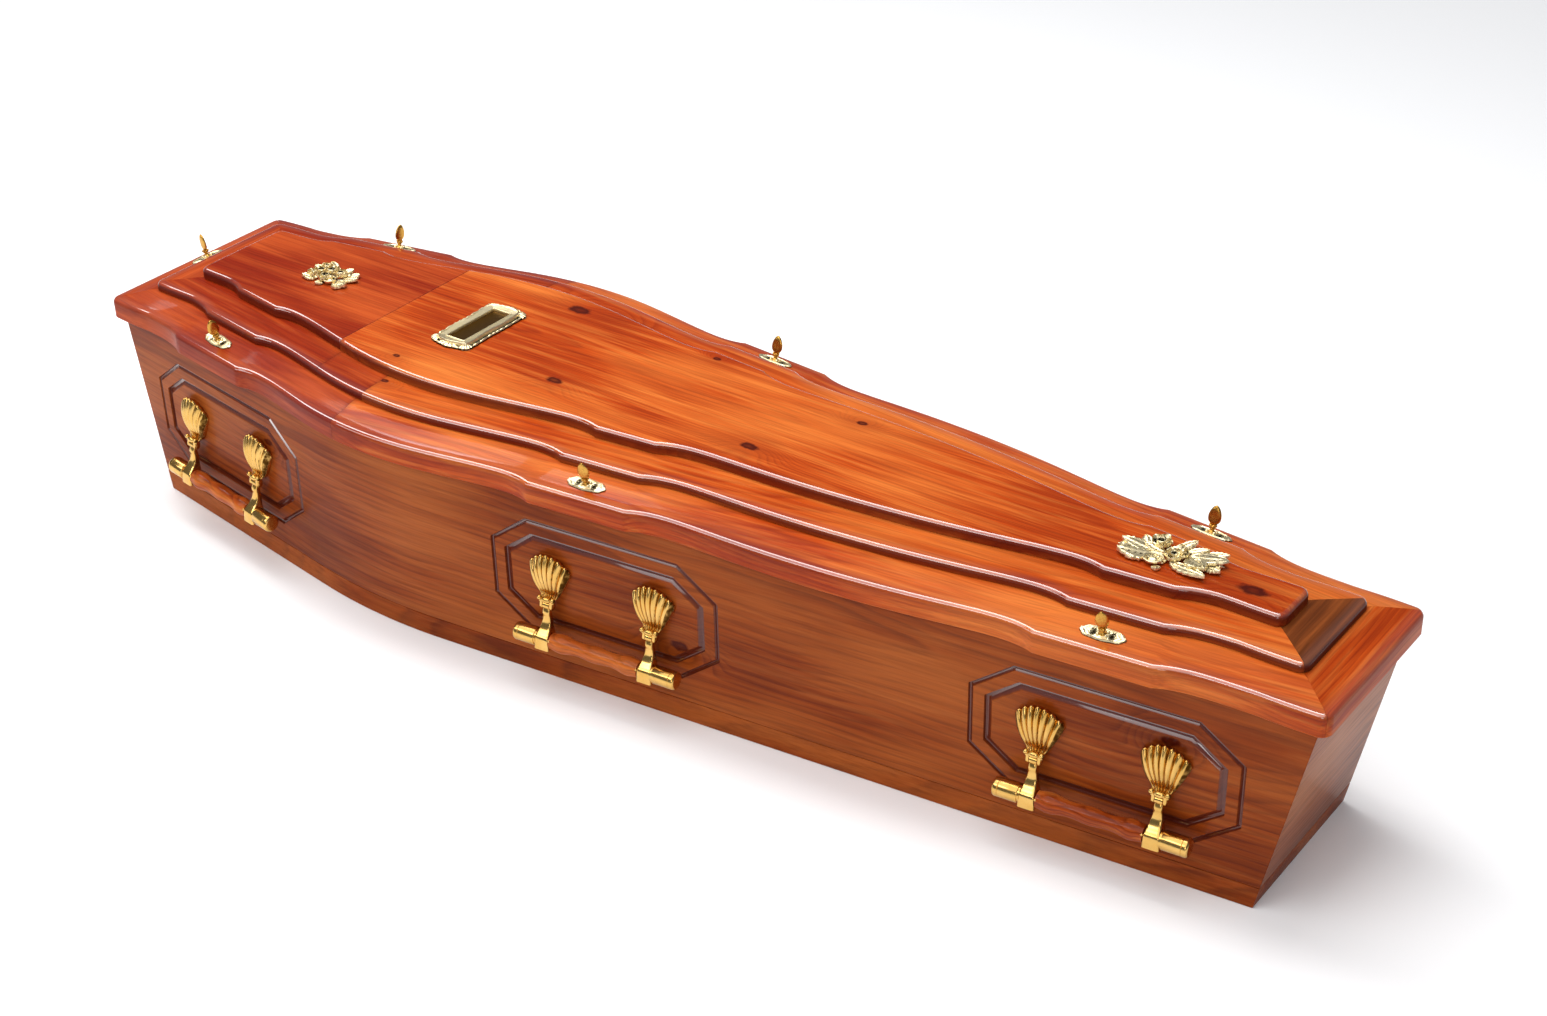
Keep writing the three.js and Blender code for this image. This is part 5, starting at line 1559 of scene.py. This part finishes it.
def spray_piece(name, centre, seat, highest, finish, leaves, petals, cups, buds):
    """A dense cast spray of leaves, folded petals, rosebud cups and round buds."""
    pieces = []
    for title, pattern, spots in (
            (" leaves", cast_leaf(finish, "leaf pattern", 6, 0.9), leaves),
            (" petals", cast_petal(finish, "petal pattern"), petals),
            (" cups", cast_cup(finish, "cup pattern"), cups),
            (" buds", cast_bud(finish, "bud pattern"), buds)):
        places = [((centre + x * MM, y * MM, seat + z * MM),
                   (0.0, -math.radians(lean), math.radians(turn)),
                   (1.14 * along, 1.34 * across, 1.1 * up))
                  for x, y, z, turn, lean, along, across, up in spots]
        pieces.append(copies(name + title, pattern, places, finish, sharp=60))
    made = joined(name + "_cast", pieces)
    for vertex in made.data.vertices:
        vertex.co.z = min(vertex.co.z, highest - 0.1 * MM)
    # Darker towards the lid: the lowest 2.6 mm of each spray take the dark colour
    layer = made.data.attributes["hollow"]
    for item, vertex in zip(layer.data, made.data.vertices):
        low = max(0.0, 1 - (vertex.co.z - seat) / (2.6 * MM))
        item.value = min(1.0, max(item.value, 0.95 * low))
    return made


# Operators, one for each piece or group of like pieces

class COFFIN_OT_box(Operator):
    """Build the base board, the two bent sides with their routed panels and the end boards"""
    bl_idname = "coffin.box"
    bl_label = "Box"

    def execute(self, context):
        scene = context.scene
        outline = Outline(scene.coffin_sizes)
        wood = side_wood(scene.coffin_colours)
        # The end boards' finish paints the floor's reflection in as a paler, greyer base colour
        ends = end_pine_painted_reflection()
        settle(base_board(outline, wood), "lacquered_pine_side", "base_board")
        for name, sign in SIDES:
            made = side_board(outline, scene.coffin_fittings, name + "_side_panelled", sign, wood)
            settle(made, "lacquered_pine_side", name + "_side")
        for name, sign in (("head", -1), ("foot", 1)):
            made = end_board(outline, name + "_end_planed", sign, ends)
            settle(made, "lacquered_pine_end", name + "_end")
        return {"FINISHED"}


class COFFIN_OT_lid_frame(Operator):
    """Build the lid's lower frame with its wavy edges, mitred corners and shoulder joints"""
    bl_idname = "coffin.lid_frame"
    bl_label = "Lower frame"

    def execute(self, context):
        scene = context.scene
        outline = Outline(scene.coffin_sizes)
        s = outline.s
        red, orange = head_wood(scene.coffin_colours), lid_wood(scene.coffin_colours)
        profile = rail_profile(s, 0.0, outline.frame_bottom, outline.frame_edge_top,
                               outline.frame_top)
        # Painted shade on the rounding's lower part, with its stain, weaker on this lowest tier
        painted_shade_and_stain = painted_edge_shade(outline.frame_edge_top, s.edge_round, 9 * MM, 0.4)
        for place, sign, wood, slot, board in (
                ("head", -1, red, "lacquered_pine_red", 11),
                ("foot", 1, orange, "lacquered_pine_orange", 12)):
            node_name = "lid_frame_" + place + "_rail"
            made = end_rail(outline, profile, 0.0, sign, node_name + "_moulded", wood, board, painted_shade_and_stain)
            settle(made, slot, node_name)
        joints = [outline.shoulder_x - FRAME_JOINT]
        final = len(outline.keys(0.0, 0.0, joints)) - 1
        for name, sign in SIDES:
            for place, first, last, wood, slot, board in (
                    ("head", 0, 3, red, "lacquered_pine_red", 13),
                    ("foot", 3, final, orange, "lacquered_pine_orange", 14)):
                node_name = "lid_frame_" + name + "_" + place + "_rail"
                made = side_rail(outline, profile, 0.0, joints, first, last, sign,
                                 node_name + "_moulded", wood, board + 3 * sign, painted_shade_and_stain)
                settle(made, slot, node_name)
        return {"FINISHED"}


class COFFIN_OT_lid_step(Operator):
    """Build the lid's middle frame, with its dark rail across the foot"""
    bl_idname = "coffin.lid_step"
    bl_label = "Middle frame"

    def execute(self, context):
        scene = context.scene
        outline = Outline(scene.coffin_sizes)
        s = outline.s
        red, orange = head_wood(scene.coffin_colours), lid_wood(scene.coffin_colours)
        profile = rail_profile(s, s.step_inset, outline.step_bottom, outline.step_edge_top,
                               outline.step_top)
        # Painted shade on the rounding's lower part, with its stain
        painted_shade_and_stain = painted_edge_shade(outline.step_edge_top, s.edge_round, 12 * MM)
        for place, sign, wood, slot, board in (
                ("head", -1, red, "lacquered_pine_red", 21),
                ("foot", 1, walnut_wood(scene.coffin_colours), "lacquered_walnut_brown", 22)):
            node_name = "lid_step_" + place + "_rail"
            made = end_rail(outline, profile, s.step_inset, sign, node_name + "_moulded", wood,
                            board, painted_shade_and_stain)
            settle(made, slot, node_name)
        two = [outline.shoulder_x - back for back in STEP_JOINTS]
        one = two[1:]
        final = len(outline.keys(0.0, 0.0, one)) - 1
        red_slot, orange_slot = "lacquered_pine_red", "lacquered_pine_orange"
        for node_name, sign, joints, first, last, wood, slot, board in (
                ("lid_step_right_head_rail", -1, two, 0, 3, red, red_slot, 23),
                ("lid_step_right_shoulder", -1, two, 3, 4, red, red_slot, 24),
                ("lid_step_right_foot_rail", -1, two, 4, final + 1, orange, orange_slot, 25),
                ("lid_step_left_head_rail", 1, one, 0, 3, red, red_slot, 26),
                ("lid_step_left_foot_rail", 1, one, 3, final, orange, orange_slot, 27)):
            made = side_rail(outline, profile, s.step_inset, joints, first, last, sign,
                             node_name + "_moulded", wood, board, painted_shade_and_stain)
            settle(made, slot, node_name)
        return {"FINISHED"}


class COFFIN_OT_top_panel(Operator):
    """Build the top panel's two boards, which meet at a joint across the lid"""
    bl_idname = "coffin.top_panel"
    bl_label = "Top panel"

    def execute(self, context):
        scene = context.scene
        outline = Outline(scene.coffin_sizes)
        joint = outline.shoulder_x - TOP_JOINT
        ease = 1.1 * MM
        near = [joint - GAP / 2 - ease, joint - GAP / 2]
        made = top_board(outline, near, 0, 4, "lid_top_head_board_planed",
                         head_wood(scene.coffin_colours), 31)
        settle(made, "lacquered_pine_red", "lid_top_head_board")
        near = [joint + GAP / 2, joint + GAP / 2 + ease]
        final = len(outline.keys(0.0, 0.0, near)) - 1
        made = top_board(outline, near, 3, final, "lid_top_main_board_planed",
                         lid_wood(scene.coffin_colours), 32)
        settle(made, "lacquered_pine_orange", "lid_top_main_board")
        return {"FINISHED"}


class COFFIN_OT_handles(Operator):
    """Build the six swing handles: shell plates, arms with end caps and turned grips"""
    bl_idname = "coffin.handles"
    bl_label = "Handles"

    def execute(self, context):
        scene = context.scene
        outline = Outline(scene.coffin_sizes)
        fittings = scene.coffin_fittings
        metal = handle_brass(scene.coffin_colours)
        wood = grip_wood()
        places, nodes = [], []
        for side, (name, sign) in enumerate(SIDES):
            for k, (place, x) in enumerate(zip(PLACES, outline.handles)):
                stem = name + "_" + place + "_handle"
                body = name + "_" + place + "_swing_handle"
                turn = outline.side_turn(x, outline.s.overhang, sign)
                frame_matrix = outline.side_place(x, sign)
                for letter, half in (("a", -1), ("b", 1)):
                    spot = frame_matrix @ Vector((half * fittings.plate_spacing / 2, 0, 0))
                    places.append((spot, (0, 0, turn), (1, 1, 1)))
                    nodes.append(stem + "_plate_" + letter)
                    arm = to_object(stem + "_arm_" + letter + "_cast", arm_mesh(fittings, half),
                                    metal, sharp=38)
                    hollow_by(arm, lambda p: 0.0)
                    arm.data.transform(frame_matrix)
                    settle(arm, "polished_brass", stem + "_arm_" + letter, body=body)
                grip = to_object(stem + "_grip_turned", grip_mesh(fittings), wood, sharp=50)
                dress_wood(grip, lambda p: p - Vector(BAR), 41 + 3 * side + k)
                grip.data.transform(frame_matrix)
                settle(grip, "turned_grip_wood", stem + "_grip", body=body)
        plates = copies("handle_shell_plates", shell_plate(fittings, metal), places, metal,
                        sharp=50)
        settle(plates, "polished_brass", *nodes)
        return {"FINISHED"}


class COFFIN_OT_lid_screws(Operator):
    """Build the seven lid screws: oval scrolled plates with upright acorn leaves"""
    bl_idname = "coffin.lid_screws"
    bl_label = "Lid screws"

    def execute(self, context):
        scene = context.scene
        outline = Outline(scene.coffin_sizes)
        s = outline.s
        inset = 27 * MM  # of the screws' centres from the lid's edge
        # The plates lie on the lower frame's sloping tread
        slope = s.frame_rise / (s.step_inset - 4 * MM - s.edge_round)
        height = outline.frame_edge_top + slope * (inset - s.edge_round) + GAP
        tilt = math.atan(slope)
        turns = (75, 12, 18, 70, 10, 15, 80)  # how far each leaf stands round, in degrees
        stands = [(x, sign * outline.half_width(x, inset), outline.side_turn(x, inset, sign))
                  for _, sign in SIDES for x in outline.screws]
        stands.append((outline.head_x + inset, 0.0, -math.pi / 2))
        plates, leaves = [], []
        for (x, y, turn), twist in zip(stands, turns):
            seat = Matrix.Rotation(turn, 4, "Z") @ Matrix.Rotation(tilt, 4, "X")
            plates.append(((x, y, height), tuple(seat.to_euler()), (1, 1, 1)))
            own = seat @ Matrix.Rotation(math.radians(twist), 4, "Z")
            leaves.append(((x, y, height), tuple(own.to_euler()), (1, 1, 1)))
        pale, warm = cast_brass(scene.coffin_colours), leaf_brass()
        names = [name + "_" + place + "_lid_screw" for name, _ in SIDES for place in PLACES]
        made = copies("lid_screw_plates", screw_plate(pale), plates, pale, sharp=50)
        settle(made, "pale_cast_brass", *names, "head_end_lid_screw")
        made = copies("lid_screw_leaves", screw_leaf(warm), leaves, warm, sharp=60)
        settle(made, "pale_cast_brass")
        return {"FINISHED"}


class COFFIN_OT_nameplate(Operator):
    """Build the bare nameplate: scrolled rim, corner shells and sunk floor"""
    bl_idname = "coffin.nameplate"
    bl_label = "Nameplate"

    def execute(self, context):
        scene = context.scene
        outline = Outline(scene.coffin_sizes)
        fittings = scene.coffin_fittings
        pale = cast_brass(scene.coffin_colours)
        seat = outline.top_top + GAP
        centre = outline.shoulder_x + 0.006
        rim = nameplate_rim(fittings, pale)
        rim.data.transform(Matrix.Translation((centre, 0, seat)))
        # Shells cover the rim's four corners and the middle of both its ends
        corners = []
        for sx, sy in ((1, 1), (-1, 1), (-1, -1), (1, -1)):
            spot = (centre + sx * 0.0235, sy * 0.0545, seat)
            corners.append((spot, (0, 0, math.atan2(sy * 1.1, sx)), (1.05, 0.9, 1.25)))
        for sy in (1, -1):
            corners.append(((centre, sy * 0.0575, seat), (0, 0, sy * math.pi / 2),
                            (1.15, 1.5, 1.2)))
        shells = copies("nameplate shells", nameplate_shell(pale), corners, pale, sharp=50)
        made = joined("nameplate_scrolled_rim", [rim, shells])
        settle(made, "pale_cast_brass", "nameplate")
        bm = bmesh.new()
        long, wide = (half - 0.2 * MM for half in SUNK_HALF)
        edge = [(long, wide), (-long, wide), (-long, -wide), (long, -wide)]
        levels = ((0.0, 1.0), (2.0 * MM, 1.0), (2.2 * MM, 0.985), (2.0 * MM, 0.93))
        rows = [[Vector((x * share, y * share, z)) for x, y in edge] for z, share in levels]
        skin(bm, rows)
        plate = to_object("nameplate_bare_floor", bm, floor_brass())
        # Darker on the floor's raised edge beside the rim
        hollow_by(plate, lambda p: 0.7 if p.z > 2.1 * MM else 0.0)
        plate.data.transform(Matrix.Translation((centre, 0, seat)))
        settle(plate, "pale_cast_brass")
        return {"FINISHED"}


class COFFIN_OT_sprays(Operator):
    """Build the two cast flower sprays on the lid"""
    bl_idname = "coffin.sprays"
    bl_label = "Flower sprays"

    def execute(self, context):
        scene = context.scene
        outline = Outline(scene.coffin_sizes)
        pale = cast_brass(scene.coffin_colours)
        seat = outline.top_top + GAP
        for name, x, shapes in (
                ("head_flower_spray", outline.head_x + 0.302,
                 (HEAD_LEAVES, HEAD_PETALS, HEAD_CUPS, HEAD_BUDS)),
                ("foot_flower_spray", outline.foot_x - 0.274,
                 (FOOT_LEAVES, FOOT_PETALS, FOOT_CUPS, FOOT_BUDS))):
            made = spray_piece(name, x, seat, CAD_BOX[1][2], pale, *shapes)
            settle(made, "pale_cast_brass", name)
        return {"FINISHED"}


class COFFIN_OT_stage(Operator):
    """Set the pale floor, the soft lights and the camera"""
    bl_idname = "coffin.stage"
    bl_label = "Stage"

    def execute(self, context):
        scene = context.scene
        scene.view_settings.view_transform = "Standard"
        bm = bmesh.new()
        reach = 40.0
        for row in ((-reach, -reach), (reach, -reach), (reach, reach), (-reach, reach)):
            bm.verts.new((row[0], row[1], -0.0002))
        bm.faces.new(bm.verts)
        # Uncoated white paper: matt, with no shine. Its tooth of about 0.1 mm is too fine to show
        # and is drawn coarse, at 3 mm.
        paper, tree = blank_material("matt_white_paper")
        spot = node(tree, "ShaderNodeTexCoord").outputs["Object"]
        tooth = node(tree, "ShaderNodeTexNoise", {"Vector": spot, "Scale": 300.0, "Detail": 2.0})
        bump = node(tree, "ShaderNodeBump", {
            "Strength": 0.05, "Distance": 0.0002, "Height": tooth.outputs["Fac"]})
        surface = node(tree, "ShaderNodeBsdfPrincipled", {
            "Base Color": linear("#FCFCFC"), "Roughness": 0.9, "Normal": bump.outputs[0]})
        node(tree, "ShaderNodeOutputMaterial", {"Surface": surface.outputs[0]})
        mesh = bpy.data.meshes.new("floor")
        bm.to_mesh(mesh)
        bm.free()
        mesh.materials.append(paper)
        linked("floor", mesh)

        world = bpy.data.worlds.new("soft room")
        world.use_nodes = True
        backdrop = world.node_tree.nodes["Background"]
        backdrop.inputs["Color"].default_value = linear("#E4E8F2")
        backdrop.inputs["Strength"].default_value = 0.22
        scene.world = world

        data = bpy.data.lights.new("wide ceiling light", "SUN")
        data.energy, data.angle = 1.6, math.radians(70)
        lamp = linked("wide ceiling light", data)
        lamp.rotation_euler = Vector((0.05, 0.42, -1.0)).to_track_quat("-Z", "Y").to_euler()
        # Each lamp's name, place and target, its width and height, and its power
        lamps = (
            ("ceiling softbox", (-1.0, 0.35, 2.7), (-0.6, 0.0, 0.3), 4.4, 1.0, 84.0),
            ("front strip", (-1.3, -2.4, 2.25), (-0.2, 0.0, 0.3), 3.6, 0.45, 24.0),
            ("foot softbox", (2.6, -3.6, 1.6), (0.6, 0.0, 0.2), 1.5, 1.2, 22.0),
        )
        for name, place, target, wide, high, power in lamps:
            data = bpy.data.lights.new(name, "AREA")
            data.shape = "RECTANGLE"
            data.size, data.size_y, data.energy = wide, high, power
            lamp = linked(name, data)
            lamp.location = place
            away = (Vector(place) - Vector(target)).normalized()
            along = (Vector((1, 0, 0)) - away * away.x).normalized()
            lamp.rotation_euler = Matrix((along, away.cross(along), away)).transposed().to_euler()

        # The photo's own view: its turn from square to the side, its tilt and its roll
        yaw, pitch, roll = math.radians(36.67), math.radians(30.97), math.radians(-1.34)
        back = Vector((math.sin(yaw) * math.cos(pitch), -math.cos(yaw) * math.cos(pitch),
                       math.sin(pitch)))
        right = (-back).cross(Vector((0, 0, 1))).normalized()
        up = right.cross(-back)
        across = math.cos(roll) * right + math.sin(roll) * up
        upward = -math.sin(roll) * right + math.cos(roll) * up
        data = bpy.data.cameras.new("camera")
        data.sensor_fit = "HORIZONTAL"
        data.sensor_width = 36.0
        focal_pixels, photo_width = 2476, 1547
        data.lens = data.sensor_width * focal_pixels / photo_width
        data.clip_end = 100.0
        camera = linked("camera", data)
        turn = Matrix((across, upward, back)).transposed()
        camera.matrix_world = Matrix.Translation((1.834, -2.298, 1.948)) @ turn.to_4x4()
        scene.camera = camera
        return {"FINISHED"}


class COFFIN_PT_panel(Panel):
    """Sidebar panel that lists the pieces and their main sizes and colours"""
    bl_label = "Wooden coffin"
    bl_idname = "COFFIN_PT_panel"
    bl_space_type = "VIEW_3D"
    bl_region_type = "UI"
    bl_category = "Coffin"

    def draw(self, context):
        layout = self.layout
        for operator in OPERATORS:
            layout.operator(operator.bl_idname)
        for group in (context.scene.coffin_sizes, context.scene.coffin_fittings,
                      context.scene.coffin_colours):
            box = layout.box()
            for name in group.__annotations__:
                box.prop(group, name)


OPERATORS = (COFFIN_OT_box, COFFIN_OT_lid_frame, COFFIN_OT_lid_step, COFFIN_OT_top_panel,
             COFFIN_OT_handles, COFFIN_OT_lid_screws, COFFIN_OT_nameplate, COFFIN_OT_sprays,
             COFFIN_OT_stage)
CLASSES = (CoffinSizes, CoffinFittings, CoffinColours, *OPERATORS, COFFIN_PT_panel)


def register():
    for cls in CLASSES:
        bpy.utils.register_class(cls)
    bpy.types.Scene.coffin_sizes = PointerProperty(type=CoffinSizes)
    bpy.types.Scene.coffin_fittings = PointerProperty(type=CoffinFittings)
    bpy.types.Scene.coffin_colours = PointerProperty(type=CoffinColours)


def unregister():
    del bpy.types.Scene.coffin_colours
    del bpy.types.Scene.coffin_fittings
    del bpy.types.Scene.coffin_sizes
    for cls in reversed(CLASSES):
        bpy.utils.unregister_class(cls)


def main():
    register()
    bpy.ops.coffin.box()
    bpy.ops.coffin.lid_frame()
    bpy.ops.coffin.lid_step()
    bpy.ops.coffin.top_panel()
    bpy.ops.coffin.handles()
    bpy.ops.coffin.lid_screws()
    bpy.ops.coffin.nameplate()
    bpy.ops.coffin.sprays()
    bpy.ops.coffin.stage()


if __name__ == "__main__":
    main()
